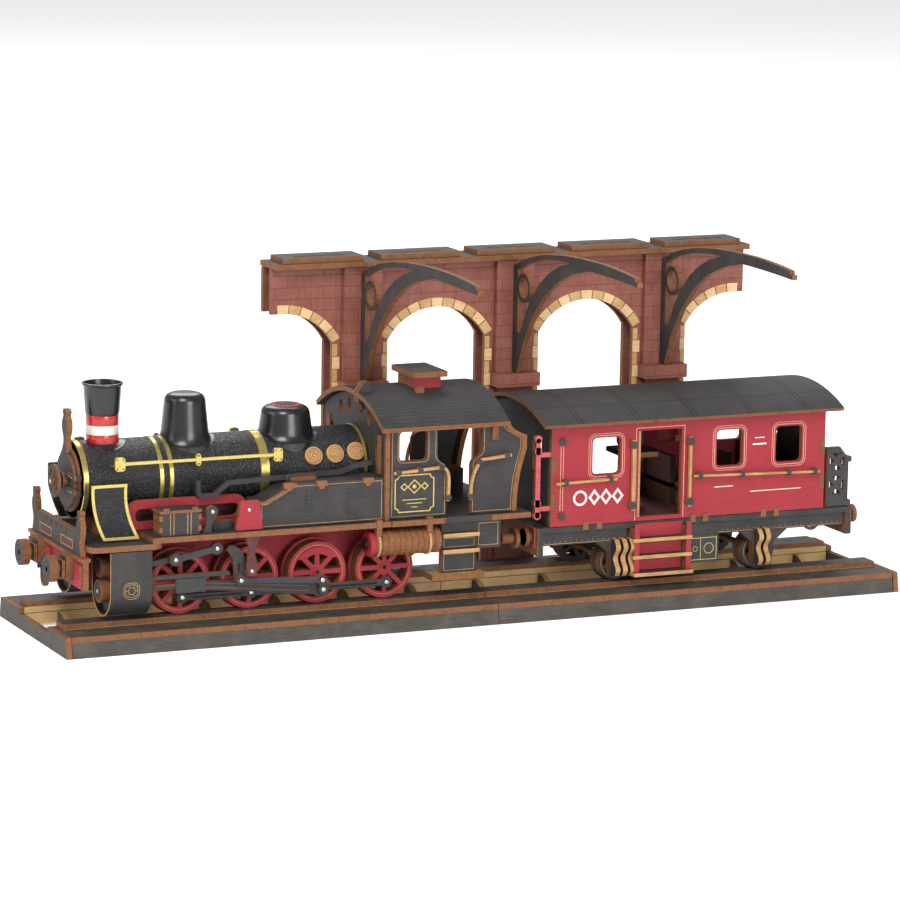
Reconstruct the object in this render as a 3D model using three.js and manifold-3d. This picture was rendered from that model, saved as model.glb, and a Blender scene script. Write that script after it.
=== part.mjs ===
// A laser-cut plywood jigsaw model: a tank locomotive and a coach on a piece of track, with an arcade
// wall behind. Millimetres. X runs along the track towards the coach, Y away from the near side to the
// arcade, Z up. The middle of the track is X = 0, Y = 0 inside the layout group.
import * as THREE from 'three';
import { mergeVertices } from 'three/addons/utils/BufferGeometryUtils.js';
import Module from 'manifold-3d';

const wasm = await Module();
wasm.setup();

// ---------------------------------------------------------------- driving dimensions
const sheet = 2.4; // thickness of the plywood sheets
const thin = 1.6; // thickness of the thin plywood sheets
const gap = 0.3; // clearance between neighbouring pieces
const near = -1; // the side of the track that faces the viewer
const far = 1; // the side of the track that faces the arcade

const track = {
  length: 390,
  footHalf: 44, // half width on the table
  deckHalf: 42.4, // half width of the decks
  boardHeight: 6.3, // sloping side boards, under the decks
  stripInner: 18.8, // rail strips, from the middle of the track
  stripOuter: 28,
  stripEnd: 4, // the strips stop short of the end of the deck
  ladderZ: 1.2, // underside of the inner boards
  sleepers: 6, // in each half of the track
  sleeperDip: 3.2,
};
const deckTop = track.boardHeight + sheet;
const railTop = deckTop + sheet;

const wheel = {
  radius: 13.2,
  flange: 1,
  face: 24, // outer face, from the middle of the track
  width: 5.6,
  flangeWidth: 1.6,
  hub: 3.2,
  rimInner: 10.6,
  windows: 8,
  spoke: 2.1,
  axle: 1.5,
  spacing: 30.9,
  firstX: -138.2,
  lift: 0.1, // air between the tread and the rail strip
};
const axleZ = railTop + wheel.lift + wheel.radius;
const axleX = [0, 1, 2, 3].map((i) => wheel.firstX + i * wheel.spacing);
const mainAxle = 2; // the third axle is driven by the main rods

const motion = {
  crank: 6.1, // crank radius
  pin: 1,
  bearing: 0.3, // clearance around a pin
  rodThickness: 2,
  mainThickness: 2.2,
  layer: 0.6, // air between one layer of rods and the next
  boss: 2.3,
  rodHeight: 2.4,
  mainHeight: 5.4,
  mainBoss: 3,
  crossheadX: -135.3,
  returnX: -1.5, // return crank pin, from the axle, with the crank straight down
  returnZ: -1.3,
  eccentricRun: 36.7, // eccentric rod, from pin to pin along the track
  pivotX: -114.9, // pivot of the expansion links
  pivotZ: 34,
  linkFoot: 8.6, // eccentric rod's pin, below the pivot
  linkTop: 4.2,
};
const rodInner = wheel.face + motion.layer;
const rodOuter = rodInner + motion.rodThickness;
const mainInner = rodOuter + motion.layer;
const mainOuter = mainInner + motion.mainThickness;
const crankInner = mainOuter + motion.layer;
const crankOuter = crankInner + thin;
const eccentricInner = crankOuter + motion.layer;
const eccentricOuter = eccentricInner + thin;

const beamFront = -184.6; // outer face of the buffer beam
const cabFront = -49.9; // outer face of the cab's front wall
const coachSill = 37.7; // underside of the coach's walls

const board = {
  half: 36, // running board, half width
  rear: cabFront + sheet,
  step: -154.5, // the lowered front part ends here
  front: beamFront + sheet + 0.2,
  top: 46.6,
};
const boardUnder = board.top - sheet;
const frontUnder = boardUnder - sheet;

const boiler = { sides: 36, radius: 16, z: 66.4, front: -178, rear: -50.2 };
const chimney = { x: -164.3, stack: 6.9, cap: 8.7, capFoot: 7.3, foot: 9.4, top: 107, capZ: 94.2 };
const domes = {
  front: { x: -127.6, foot: 11.2, shoulder: 8.6, top: 101 },
  rear: { x: -82, foot: 13, shoulder: 10.6, top: 93.2 },
};
const tank = { outer: 33, inner: 17.8, front: -106.4, knee: 57.8, slopeX: -89.6, top: 64.9 };
const cab = {
  half: 33,
  front: cabFront,
  rear: 14.5,
  door: [-21, -9.7], // doorway below the shoulders
  doorTop: [-25.4, -4.6], // doorway above the shoulders
  doorHeight: 37.4,
  roofHalf: 37.5,
  roofFront: -52.5,
  roofRear: 6,
  roofTop: 98.5,
  roofEdge: 86.8,
  floorRear: 17.1,
};
const vent = { x0: -28, x1: -12, half: 12, baseHalf: 8, baseInset: 2, z: 103 };
const smokeDoor = { radius: 13.5, thickness: 2.4, hub: 3, wheel: 7, wheelX: -186.2, hingeY: -14.6 };
const beam = { front: beamFront, half: 34.2, z0: 26, z1: 38, plateTop: 51, plateHalf: 30, plateTopHalf: 24 };
const beamHoles = { pitch: 6.4, radius: 1.3, z: 48 };
const buffer = { y: 18, z: 33, radius: 5, shank: 2.3, base: 4.4, face: -195 };
const ringLink = { x: -189.6, z: 31.6, half: 3.7, drop: 11.4, bar: 1.5 };
const hook = { front: -192.8, z0: 29.7, z1: 30.9, tip: 32.5, half: 0.8, bar: 1.2 };
const cylinder = { front: -173.2, rear: -155, y: 24.5, radius: 11.5, foot: 24.4, rodY: 31.2, bore: 17 };
const chassis = {
  half: 12,
  front: beamFront + sheet + 0.4,
  rear: 9,
  z0: 19.5,
  rearZ: 29,
  spacerTop: frontUnder - 0.8,
};
const step = { x0: -23.5, x1: -7.3, panel: 34, tread: 37.2, plateX0: -28.4, plateX1: -4.5, z0: 19.6 };
const locker = { x1: 4.5, y0: 20, y1: 33, z0: 31.5 };
const airTank = { x0: -57.6, x1: -24.3, y: 31.6, z: 36.6, radius: 5.6, strapAt: [4, 26] };

const coach = {
  x0: 29.6,
  x1: 163.1,
  half: 30,
  sill: coachSill,
  top: 80.4,
  floorZ: coachSill - gap - sheet,
  floorRear: 177,
  roofX0: 23.6,
  roofX1: 169,
  roofHalf: 36,
  roofTop: 91.2,
  roofEdge: 83.3,
  soleZ: 29.4,
  front: 24,
  wheelRadius: 8,
  axleX: [64, 134],
  windows: [[49.2, 62.6], [109.3, 122.1], [138.5, 151.5]],
  windowZ: [59.5, 75.6],
  door: [71.3, 92.3],
  doorZ: [39.4, 77.6],
};
const coachAxleZ = railTop + wheel.lift + coach.wheelRadius;

const arcade = {
  faceY: 47, // front wall, from the middle of the track
  depth: 12,
  middleX: 45,
  spacing: 73.2,
  half: 115.3,
  archHalf: 23.45,
  springZ: 110,
  crownZ: 123.8,
  pierHalf: 9,
  pierOut: 3.5,
  ledgeHalf: 10.3,
  ledgeOut: 9,
  ledgeTop: 93.3,
  ledgeHeight: 6,
  pedestalHalf: 7.3,
  pedestalOut: 3, // stays behind the foot of the track bed
  underCornice: 143.6,
  corniceOut: 6,
  upperStep: 2,
};
const pierX = [-1, 0, 1].map((i) => arcade.middleX + i * arcade.spacing);
const pierFront = arcade.faceY - arcade.pierOut;

const bracket = { reach: 124, legZ: arcade.ledgeTop, top: 153.8, tipTop: 153, tipLow: 148.6, ring: 6.6 };
const bracketTip = pierFront - bracket.reach;

// ---------------------------------------------------------------- finishes
const paint = (color, roughness) => new THREE.MeshStandardMaterial({ color, roughness, metalness: 0 });
const greyPrint = () => paint(0x45474a, 0.8);
const ballastPrint = () => paint(0x5c5853, 0.85);
const blackLeather = () => paint(0x1f2024, 0.45);
const blackGloss = () => paint(0x24282c, 0.3);
const redPrint = () => paint(0xbd4348, 0.7);
const brickPrint = () => paint(0x9b5650, 0.8);
const bareWood = () => paint(0xb5955c, 0.7);
const burntWood = () => paint(0x7a5030, 0.8);

// ---------------------------------------------------------------- shapes and solids
function solidOf(geometry) {
  geometry.deleteAttribute('normal');
  geometry.deleteAttribute('uv');
  const merged = mergeVertices(geometry, 1e-4);
  return new wasm.Manifold(new wasm.Mesh({
    numProp: 3,
    vertProperties: new Float32Array(merged.attributes.position.array),
    triVerts: new Uint32Array(merged.index.array),
  }));
}

function geometryOf(solid) {
  const { vertProperties, triVerts } = solid.getMesh();
  const geometry = new THREE.BufferGeometry();
  geometry.setAttribute('position', new THREE.BufferAttribute(new Float32Array(vertProperties), 3));
  geometry.setIndex(new THREE.BufferAttribute(new Uint32Array(triVerts), 1));
  geometry.computeVertexNormals();
  return geometry;
}

const join = (...solids) => solids.flat().reduce((a, b) => a.add(b));
const cut = (solid, ...tools) => tools.flat().reduce((a, b) => a.subtract(b), solid);

// outline from corner points, with optional holes (each a list of points or a shape)
function outline(points, holes = []) {
  const shape = new THREE.Shape(points.map(([a, b]) => new THREE.Vector2(a, b)));
  shape.holes = holes.map((h) => (Array.isArray(h) ? outline(h) : h));
  return shape;
}

function roundedBox(a0, a1, b0, b1, r) {
  const corners = [[a1 - r, b0 + r, -0.5], [a1 - r, b1 - r, 0], [a0 + r, b1 - r, 0.5], [a0 + r, b0 + r, 1]];
  return corners.flatMap(([a, b, turn]) => arc(a, b, r, turn * Math.PI, (turn + 0.5) * Math.PI, 3));
}

function arc(a, b, r, from, to, steps) {
  return Array.from({ length: steps + 1 }, (_, i) => {
    const angle = from + ((to - from) * i) / steps;
    return [a + r * Math.cos(angle), b + r * Math.sin(angle)];
  });
}

const disc = (a, b, r, sides = 16) => arc(a, b, r, 0, 2 * Math.PI, sides).slice(0, -1);
const rect = (a0, a1, b0, b1) => [[a0, b0], [a1, b0], [a1, b1], [a0, b1]];
const asShape = (s) => (Array.isArray(s) ? outline(s) : s);

function extrude(shape, depth) {
  return new THREE.ExtrudeGeometry(asShape(shape), { depth, bevelEnabled: false, curveSegments: 6 });
}

// a sheet with its outline in X and Y, from z0 to z1
const flat = (shape, z0, z1) => solidOf(extrude(shape, z1 - z0).translate(0, 0, z0));

// a sheet with its outline in X and Z, from y0 to y1
function upright(shape, y0, y1) {
  return solidOf(extrude(shape, y1 - y0).rotateX(Math.PI / 2).translate(0, y1, 0));
}

// a sheet with its outline in Y and Z, from x0 to x1
function crosswise(shape, x0, x1) {
  const turn = new THREE.Matrix4().makeBasis(
    new THREE.Vector3(0, 1, 0), new THREE.Vector3(0, 0, 1), new THREE.Vector3(1, 0, 0));
  return solidOf(extrude(shape, x1 - x0).applyMatrix4(turn).translate(x0, 0, 0));
}

const block = (x0, x1, y0, y1, z0, z1) => flat(rect(x0, x1, y0, y1), z0, z1);

// the same sheet on either side of the track: distances from the middle become signed
const sideUpright = (side, shape, a, b) => {
  const [y0, y1] = [side * a, side * b].sort((p, q) => p - q);
  return upright(shape, y0, y1);
};
const sideBlock = (side, x0, x1, a, b, z0, z1) => sideUpright(side, rect(x0, x1, z0, z1), a, b);
const rodAlongY = (side, x, z, r, a, b, sides = 16) => sideUpright(side, disc(x, z, r, sides), a, b);
const rodAlongX = (y, z, r, x0, x1, sides = 16) => crosswise(disc(y, z, r, sides), x0, x1);

// a turned piece about an upright axis, from [radius, height] pairs
function turned(profile, x, y, sides = 20) {
  const points = profile.map(([r, z]) => new THREE.Vector2(r, z));
  return solidOf(new THREE.LatheGeometry(points, sides).rotateX(Math.PI / 2).translate(x, y, 0));
}

function addPiece(parent, name, solid, material) {
  const mesh = new THREE.Mesh(geometryOf(solid), material);
  mesh.name = name;
  parent.add(mesh);
  return mesh;
}

const sideName = (side) => (side === near ? 'near' : 'far');

// ---------------------------------------------------------------- track bed
const trackEnd = track.length / 2;
const endInner = trackEnd - sheet - gap;

// side board, deck and rail strip of one side, in one half of the track
function makeBallast(side, x0, x1, strip0, strip1) {
  const { footHalf, deckHalf, boardHeight, stripInner, stripOuter } = track;
  const foot = [
    [side * footHalf, 0], [side * deckHalf, boardHeight], [side * deckHalf, deckTop],
    [side * stripInner, deckTop], [side * stripInner, boardHeight],
    [side * (deckHalf - sheet), boardHeight], [side * (footHalf - sheet), 0],
  ];
  const points = side === near ? foot : foot.reverse();
  const strip = sideBlock(side, strip0, strip1, stripInner, stripOuter, deckTop, railTop);
  return join(crosswise(points, x0, x1), strip);
}

// two inner boards with the sleepers between them, in one half of the track
function makeLadder(x0, x1) {
  const inner = track.stripInner;
  const top = track.boardHeight - gap;
  const rails = [near, far].map((s) => sideBlock(s, x0, x1, inner, inner + sheet, track.ladderZ, top));
  const pitch = (x1 - x0) / track.sleepers;
  const low = top - track.sleeperDip;
  const profile = [
    [-inner, track.ladderZ], [inner, track.ladderZ], [inner, top], [inner * 0.75, top],
    [inner * 0.4, low], [-inner * 0.4, low], [-inner * 0.75, top], [-inner, top],
  ];
  const sleepers = Array.from({ length: track.sleepers }, (_, i) => {
    const x = x0 + pitch * (i + 0.5);
    return crosswise(profile, x - sheet / 2, x + sheet / 2);
  });
  return join(rails, sleepers);
}

function makeEndPlate(x0) {
  const { footHalf, deckHalf, boardHeight, stripInner } = track;
  return crosswise([
    [-footHalf, 0], [footHalf, 0], [deckHalf, deckTop], [stripInner, deckTop],
    [stripInner, boardHeight], [-stripInner, boardHeight], [-stripInner, deckTop], [-deckHalf, deckTop],
  ], x0, x0 + sheet);
}

function makeTrack() {
  const group = new THREE.Group();
  const halves = [['front', -endInner, -gap / 2], ['rear', gap / 2, endInner]];
  for (const [name, x0, x1] of halves) {
    for (const side of [near, far]) {
      const s0 = name === 'front' ? -trackEnd + track.stripEnd : x0;
      const s1 = name === 'front' ? x1 : trackEnd - track.stripEnd;
      const bed = makeBallast(side, x0, x1, s0, s1);
      addPiece(group, `ballast_${sideName(side)}_${name}`, bed, ballastPrint());
    }
    addPiece(group, `sleeper_ladder_${name}`, makeLadder(x0, x1), bareWood());
  }
  addPiece(group, 'end_plate_front', makeEndPlate(-trackEnd), ballastPrint());
  addPiece(group, 'end_plate_rear', makeEndPlate(trackEnd - sheet), ballastPrint());
  return group;
}

// ---------------------------------------------------------------- arcade
// half of an arch opening, as points from the springing up to the crown
function archPoints(x, from, to) {
  const rise = arcade.crownZ - arcade.springZ;
  const r = (arcade.archHalf ** 2 + rise ** 2) / (2 * rise);
  const tilt = Math.asin(arcade.archHalf / r);
  return arc(x, arcade.crownZ - r, r, Math.PI / 2 - from * tilt, Math.PI / 2 - to * tilt, 8);
}

// wall sheet: two whole arches and a half arch at each end, with legs down to the table
function makeWall(y0) {
  const { middleX, half, archHalf, spacing, underCornice } = arcade;
  const left = middleX - half;
  const right = middleX + half;
  const centres = [-1.5, -0.5, 0.5, 1.5].map((i) => middleX + i * spacing);
  const points = [[left, underCornice], [left, arcade.crownZ], ...archPoints(centres[0], 0, 1)];
  for (const i of [1, 2]) {
    points.push([centres[i - 1] + archHalf, 0], [centres[i] - archHalf, 0]);
    points.push(...archPoints(centres[i], -1, 0));
    points.push(...archPoints(centres[i], 0, 1).slice(1));
  }
  points.push([centres[2] + archHalf, 0], [centres[3] - archHalf, 0], ...archPoints(centres[3], -1, 0));
  points.push([right, arcade.crownZ], [right, underCornice]);
  return upright(points, y0, y0 + sheet);
}

// pilaster, ledge and pedestal of one pier, in front of the wall and between its two sheets
function makePier(x) {
  const a = arcade;
  const back = a.faceY - gap;
  const ledgeFoot = a.ledgeTop - a.ledgeHeight;
  return join(
    block(x - a.pierHalf, x + a.pierHalf, pierFront, back, ledgeFoot, a.underCornice - gap),
    block(x - a.ledgeHalf, x + a.ledgeHalf, a.faceY - a.ledgeOut, back, ledgeFoot, a.ledgeTop),
    block(x - a.pedestalHalf, x + a.pedestalHalf, a.faceY - a.pedestalOut + gap, back, 0, ledgeFoot),
  );
}

function makeCornice() {
  const a = arcade;
  const y0 = a.faceY - a.corniceOut;
  const y1 = a.faceY + a.depth + sheet / 2;
  const x0 = a.middleX - a.half;
  const x1 = a.middleX + a.half;
  const lower = block(x0, x1, y0, y1, a.underCornice, a.underCornice + sheet);
  const upper = [];
  const bays = 5;
  const bay = (x1 - x0) / bays;
  for (let i = 0; i < bays; i++) {
    const start = x0 + i * bay + 4;
    const top = a.underCornice + 2 * sheet;
    const plate = block(start, start + bay - 8, y0 + a.upperStep, y1 - a.upperStep, top - sheet, top);
    upper.push(cut(plate, block(start + 7, start + bay - 15, y0 + 6, y0 + 9, top - sheet - 1, top + 1)));
  }
  return join(lower, upper);
}

// gallows bracket: a leg on the pier, a long drooping arm, a curved brace and a ring in the corner
function makeBracket(x) {
  const y = pierFront - gap;
  const b = bracket;
  const arm = new THREE.Shape();
  arm.moveTo(y, b.legZ + gap);
  arm.lineTo(y, 141);
  arm.quadraticCurveTo(y - 26, b.top, y - 88, b.top);
  arm.quadraticCurveTo(y - 106, b.top - 0.2, bracketTip + 2.5, b.tipTop - 0.8);
  arm.lineTo(bracketTip + 2.5, b.tipTop - 2.4);
  arm.lineTo(bracketTip, b.tipTop - 2.4);
  arm.lineTo(bracketTip, b.tipLow);
  arm.quadraticCurveTo(y - 100, 149.4, y - 78, 149.2);
  arm.quadraticCurveTo(y - 22, 142, y - 4.4, b.legZ + gap);
  const spandrel = new THREE.Path();
  spandrel.moveTo(y - 4.6, 140);
  spandrel.quadraticCurveTo(y - 24, 149.4, y - 58, 150);
  spandrel.quadraticCurveTo(y - 22, 143, y - 7.6, 112);
  spandrel.lineTo(y - 4.6, 112);
  arm.holes = [spandrel];
  const plate = crosswise(arm, x - sheet / 2, x + sheet / 2);
  const ring = outline(disc(y - 10.6, 132.4, b.ring, 20), [disc(y - 10.6, 132.4, b.ring - 1.8, 16)]);
  return join(plate, crosswise(ring, x - sheet / 2, x + sheet / 2));
}

function makeArcade() {
  const group = new THREE.Group();
  addPiece(group, 'arcade_front_wall', makeWall(arcade.faceY), brickPrint());
  addPiece(group, 'arcade_back_wall', makeWall(arcade.faceY + arcade.depth - sheet), brickPrint());
  pierX.forEach((x, i) => {
    addPiece(group, `arcade_pier_${i + 1}`, makePier(x), brickPrint());
    addPiece(group, `gallows_bracket_${i + 1}`, makeBracket(x), greyPrint());
  });
  const cornice = addPiece(group, 'arcade_cornice', makeCornice(), greyPrint());
  cornice.position.z = gap;
  return group;
}

// ---------------------------------------------------------------- curved roofs
// centre height and radius of a circle through the apex and both edges of a roof
function roofCircle({ roofTop, roofEdge, roofHalf }) {
  const rise = roofTop - roofEdge;
  const radius = (roofHalf ** 2 + rise ** 2) / (2 * rise);
  return { z: roofTop - radius, radius };
}

// height under a roof at a distance from the middle, less the clearance
function underRoof(spec, y) {
  const { z, radius } = roofCircle(spec);
  return z + Math.sqrt((radius - sheet - gap) ** 2 - y ** 2);
}

function makeRoof(spec) {
  const { z, radius } = roofCircle(spec);
  const half = Math.asin(spec.roofHalf / radius);
  const turn = [Math.PI / 2 - half, Math.PI / 2 + half];
  const outer = arc(0, z, radius, turn[0], turn[1], 12);
  const inner = arc(0, z, radius - sheet, turn[1], turn[0], 12);
  return crosswise([...outer, ...inner], spec.roofX0, spec.roofX1);
}

// an end wall that reaches up to the curved roof
function archedWall(spec, half, z0, x0, x1, holes) {
  const { z, radius } = roofCircle(spec);
  const r = radius - sheet - gap;
  const tilt = Math.asin(half / r);
  const top = arc(0, z, r, Math.PI / 2 - tilt, Math.PI / 2 + tilt, 10);
  return crosswise(outline([[-half, z0], [half, z0], ...top], holes), x0, x1);
}

// ---------------------------------------------------------------- locomotive, fixed pieces
const upperZ = board.top + gap; // what stands on the running board or the cab floor
const cabX0 = cab.front + sheet + gap; // cab sides start behind the front wall
const boilerCylinder = (extra, x0, x1) => (
  rodAlongX(0, boiler.z, boiler.radius + extra, x0, x1, boiler.sides)
);

// two side plates with bores for the axles, tied by cross members
function makeChassis() {
  const { half, front, rear, z0, rearZ, spacerTop } = chassis;
  const low = frontUnder - gap;
  const high = boardUnder - gap;
  const boardStep = board.step + sheet * 2;
  const plate = outline([
    [front, beam.z0 + 2], [-158, z0], [-38, z0], [-22, rearZ], [rear, rearZ], [rear, high],
    [boardStep + gap, high], [boardStep + gap, low], [front, low],
  ], axleX.map((x) => disc(x, axleZ, wheel.axle + motion.bearing, 8)));
  const plates = [near, far].map((s) => sideUpright(s, plate, half - sheet, half));
  const between = axleX.slice(0, -1).map((x) => x + wheel.spacing / 2);
  const members = [front, wheel.firstX - wheel.spacing / 2, ...between, -26, rear - sheet].map((x) => {
    const foot = x > -30 || x === front ? rearZ + 2 : z0 + 3;
    return block(x, x + sheet, -half + sheet / 2, half - sheet / 2, foot, spacerTop);
  });
  return join(plates, members);
}

// front beam, the plate above it, the buffers and the hook that carries the ring link
function makeBufferBeam() {
  const { front, half, z0, z1, plateTop, plateHalf, plateTopHalf } = beam;
  const holes = [-2, -1, 0, 1, 2].map((i) => disc(i * beamHoles.pitch, beamHoles.z, beamHoles.radius, 10));
  const sheetShape = outline([
    [-half, z0], [half, z0], [half, z1], [plateHalf, z1], [plateTopHalf, plateTop],
    [-plateTopHalf, plateTop], [-plateHalf, z1], [-half, z1],
  ], holes);
  const plate = crosswise(sheetShape, front, front + sheet);
  const buffers = [near, far].flatMap((s) => {
    const y = s * buffer.y;
    const b = buffer.base;
    const { z, radius, face, shank } = buffer;
    return [
      block(front - sheet, front + 0.1, y - b, y + b, z - b, z + b),
      rodAlongX(y, z, shank, face + sheet / 2, front, 12),
      rodAlongX(y, z, radius, face, face + sheet),
    ];
  });
  const hookBar = [
    block(hook.front, front + 0.1, -hook.half, hook.half, hook.z0, hook.z1),
    block(hook.front, hook.front + hook.bar, -hook.half, hook.half, hook.z0, hook.tip),
  ];
  return join(plate, buffers, hookBar);
}

// the lowered front part has round corners; cradles carry the boiler
function makeRunningBoard() {
  const { half, rear, step: stepX, front, top } = board;
  const frontShape = roundedBox(front, stepX + 2 * sheet, -half, half, 3.6);
  const cradles = [-170, -130, -92, -60].map((x) => {
    const foot = x < stepX ? boardUnder - 0.1 : top - 0.1;
    return crosswise(rect(-14, 14, foot, 57), x, x + sheet);
  });
  const boards = [
    flat(frontShape, frontUnder, boardUnder),
    block(stepX, rear, -half, half, boardUnder, top),
  ];
  return cut(join(boards, cradles), boilerCylinder(gap, board.front - 1, board.rear + 1));
}

const makeBoiler = () => join(
  boilerCylinder(0, boiler.front, boiler.rear),
  boilerCylinder(0.6, boiler.front, boiler.front + sheet),
);

// turned fittings stand on the boiler and are cut to its curve
function onBoiler(profile) {
  const solid = turned(profile, 0, 0);
  return cut(solid, boilerCylinder(gap, -boiler.radius * 2, boiler.radius * 2));
}

function makeChimney() {
  const { stack, cap: capR, capFoot, foot, top, capZ } = chimney;
  const seat = boiler.z + boiler.radius - 4.4;
  const bore = capR - 1;
  return onBoiler([
    [0, seat], [foot, seat], [foot, seat + 3], [stack + 0.6, seat + 4.6], [stack, seat + 6],
    [stack, capZ], [capFoot, capZ + 0.6], [capR - 0.6, top - 1.6], [capR, top - 1.4], [capR, top],
    [bore, top], [capFoot - 1.4, top - 12], [0, top - 12],
  ]);
}

function makeDome({ foot, shoulder, top }) {
  const seat = boiler.z + boiler.radius - 6.5;
  return onBoiler([
    [0, seat], [foot, seat], [foot, seat + 4], [foot - 1.4, seat + 7], [shoulder + 0.4, top - 7],
    [shoulder, top - 3.4], [shoulder - 1, top - 1.6], [shoulder - 3.2, top - 0.5], [0, top],
  ]);
}

function makeTank(side) {
  const { inner, outer, front, knee, slopeX, top } = tank;
  const rear = cab.front - gap;
  return sideUpright(side, [
    [front, upperZ], [rear, upperZ], [rear, top], [slopeX, top], [front + 3, knee], [front, knee],
  ], inner, outer);
}

// cab
const cabRoof = { ...cab, roofX0: cab.roofFront, roofX1: cab.roofRear };

function makeCabSide(side) {
  const [d0, d1] = cab.door;
  const [t0, t1] = cab.doorTop;
  const lintel = upperZ + cab.doorHeight;
  const top = underRoof(cabRoof, cab.half);
  const sillZ = upperZ + 20;
  const shape = new THREE.Shape();
  shape.moveTo(cabX0, upperZ);
  shape.lineTo(d0, upperZ);
  shape.lineTo(d0, sillZ);
  shape.bezierCurveTo(d0, sillZ + 4, t0, sillZ + 2, t0, sillZ + 7);
  shape.lineTo(t0, lintel);
  shape.lineTo(t1, lintel);
  shape.lineTo(t1, sillZ + 8);
  shape.bezierCurveTo(t1, sillZ + 3, d1, sillZ + 5, d1, sillZ + 1);
  shape.lineTo(d1, upperZ);
  shape.lineTo(cab.rear - 4.5, upperZ);
  shape.quadraticCurveTo(cab.rear - 4.8, upperZ + 16, cab.rear, upperZ + 27);
  shape.lineTo(cab.rear, upperZ + 32);
  shape.quadraticCurveTo(cab.rear - 8, upperZ + 35, cab.rear - 8, top);
  shape.lineTo(cabX0, top);
  shape.holes = [outline(roundedBox(cabX0 + 4.2, cabX0 + 17, sillZ + 4.6, lintel, 2))];
  return sideUpright(side, shape, cab.half - sheet, cab.half);
}

function makeCabFront() {
  const oval = (y, z, a, b) => disc(0, 0, 1, 12).map(([u, v]) => [y + a * u, z + b * v]);
  const holes = [near, far].flatMap((s) => [
    oval(s * 25.3, upperZ + 27, 2.6, 6),
    oval(s * 6.4, upperZ + 43, 2.2, 3.4),
    oval(s * 15.6, upperZ + 40.5, 2.2, 3.4),
  ]);
  return archedWall(cabRoof, cab.half, upperZ, cab.front, cab.front + sheet, holes);
}

// floor with the step panels, treads and lockers that hang below it on both sides
function makeCabFloor() {
  const floor = block(board.rear + gap, cab.floorRear, -board.half, board.half, boardUnder, board.top);
  const { x0, x1, panel, tread, plateX0, plateX1, z0 } = step;
  const sides = [near, far].flatMap((s) => [
    sideBlock(s, x0, x1, panel - sheet, panel, z0 + 1, boardUnder + 0.1),
    sideBlock(s, plateX0, plateX1, panel - 5.4, board.half + 0.6, z0, z0 + sheet),
    sideBlock(s, x0 - 0.5, x1 - 1.8, panel - 0.1, tread, boardUnder - 6.2, boardUnder - 6.2 + thin),
    sideBlock(s, x0 - 0.5, x1 - 1.8, panel - 0.1, tread, boardUnder - 13.2, boardUnder - 13.2 + thin),
    sideBlock(s, x1 - 0.1, locker.x1, locker.y0, locker.y1, locker.z0, boardUnder + 0.1),
  ]);
  return join(floor, sides);
}

// lid on a square base that is cut to the curve of the roof
function makeVent() {
  const { x0, x1, half, baseHalf, baseInset, z } = vent;
  const base = block(x0 + baseInset, x1 - baseInset, -baseHalf, baseHalf, cab.roofTop - 3, z + 0.1);
  const circle = roofCircle(cabRoof);
  const roof = rodAlongX(0, circle.z, circle.radius + gap, x0 - 1, x1 + 1, 120);
  return join(cut(base, roof), block(x0, x1, -half, half, z, z + sheet));
}

// U-shaped jacket with a blind bore for the piston rod, two covers and the guide of the crosshead
function makeCylinder(side) {
  const { front, rear, y, radius, foot, rodY, bore } = cylinder;
  const top = frontUnder - gap;
  const under = arc(side * y, foot, radius, Math.PI, 2 * Math.PI, 14);
  const jacket = [[side * y + radius, top], [side * y - radius, top], ...under];
  const guideY = [mainOuter + motion.layer, mainOuter + motion.layer + 3];
  const guide = sideBlock(side, rear - 1, motion.crossheadX + 16, ...guideY, axleZ + 3.6, axleZ + 5.2);
  const covers = [[foot - 1, 4.8], [top - 8, 4.2]].map(([z, r]) => (
    rodAlongX(side * y, z, r, front - thin, front + 0.1, 18)
  ));
  const hole = rodAlongX(side * rodY, axleZ, motion.pin + 2 * gap, rear - bore, rear + 1, 10);
  return cut(join(crosswise(jacket.reverse(), front, rear), covers, guide), hole);
}

// drum with two straps up to the running board and the cab floor
function makeAirTank(side) {
  const { x0, x1, y, z, radius, strapAt } = airTank;
  const straps = strapAt.map((x) => sideBlock(side, x0 + x, x0 + x + 2, y - 2, y + 2, z, boardUnder - gap));
  const drum = rodAlongX(side * y, z, radius, x0 + 1, x1);
  const stub = rodAlongX(side * y, z, 1.8, x0 - 0.6, x0 + 2, 10);
  return join(drum, stub, straps);
}

// door disc with a hub and a handwheel, about its own centre
function makeSmokeDoor() {
  const { radius, thickness, hub, wheel: wheelR, wheelX } = smokeDoor;
  const back = boiler.front - gap;
  const knuckle = flat(disc(back - thickness / 2, smokeDoor.hingeY, 1.1, 10), boiler.z - 4, boiler.z + 4);
  const { hingeY } = smokeDoor;
  const strap = (z) => block(back - thickness, back, hingeY, hingeY + 4, z - 1.2, z + 1.2);
  return join(
    rodAlongX(0, boiler.z, radius, back - thickness, back, 32),
    rodAlongX(0, boiler.z, hub, wheelX, back - 1, 14),
    rodAlongX(0, boiler.z, wheelR, wheelX, wheelX + thin, 24),
    knuckle, strap(boiler.z - 2.8), strap(boiler.z + 2.8),
  );
}

// ring that hangs from the front hook, about the pivot at its top
function makeRingLink() {
  const { half, drop, bar } = ringLink;
  const oval = (a, top, low) => [
    ...arc(0, top - a, a, 0, Math.PI, 8), ...arc(0, low + a, a, Math.PI, 2 * Math.PI, 8),
  ];
  const loop = outline(oval(half, bar, bar - drop), [oval(half - bar, 0, 2 * bar - drop)]);
  return crosswise(loop, -thin / 2, thin / 2);
}

// ---------------------------------------------------------------- wheels and rods
// places in the plane of the rods are [along the track, up], with the crank straight down; the far
// side is a quarter turn ahead
const quarter = { [near]: (x, z) => [x, z], [far]: (x, z) => [-z, x] };

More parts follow.
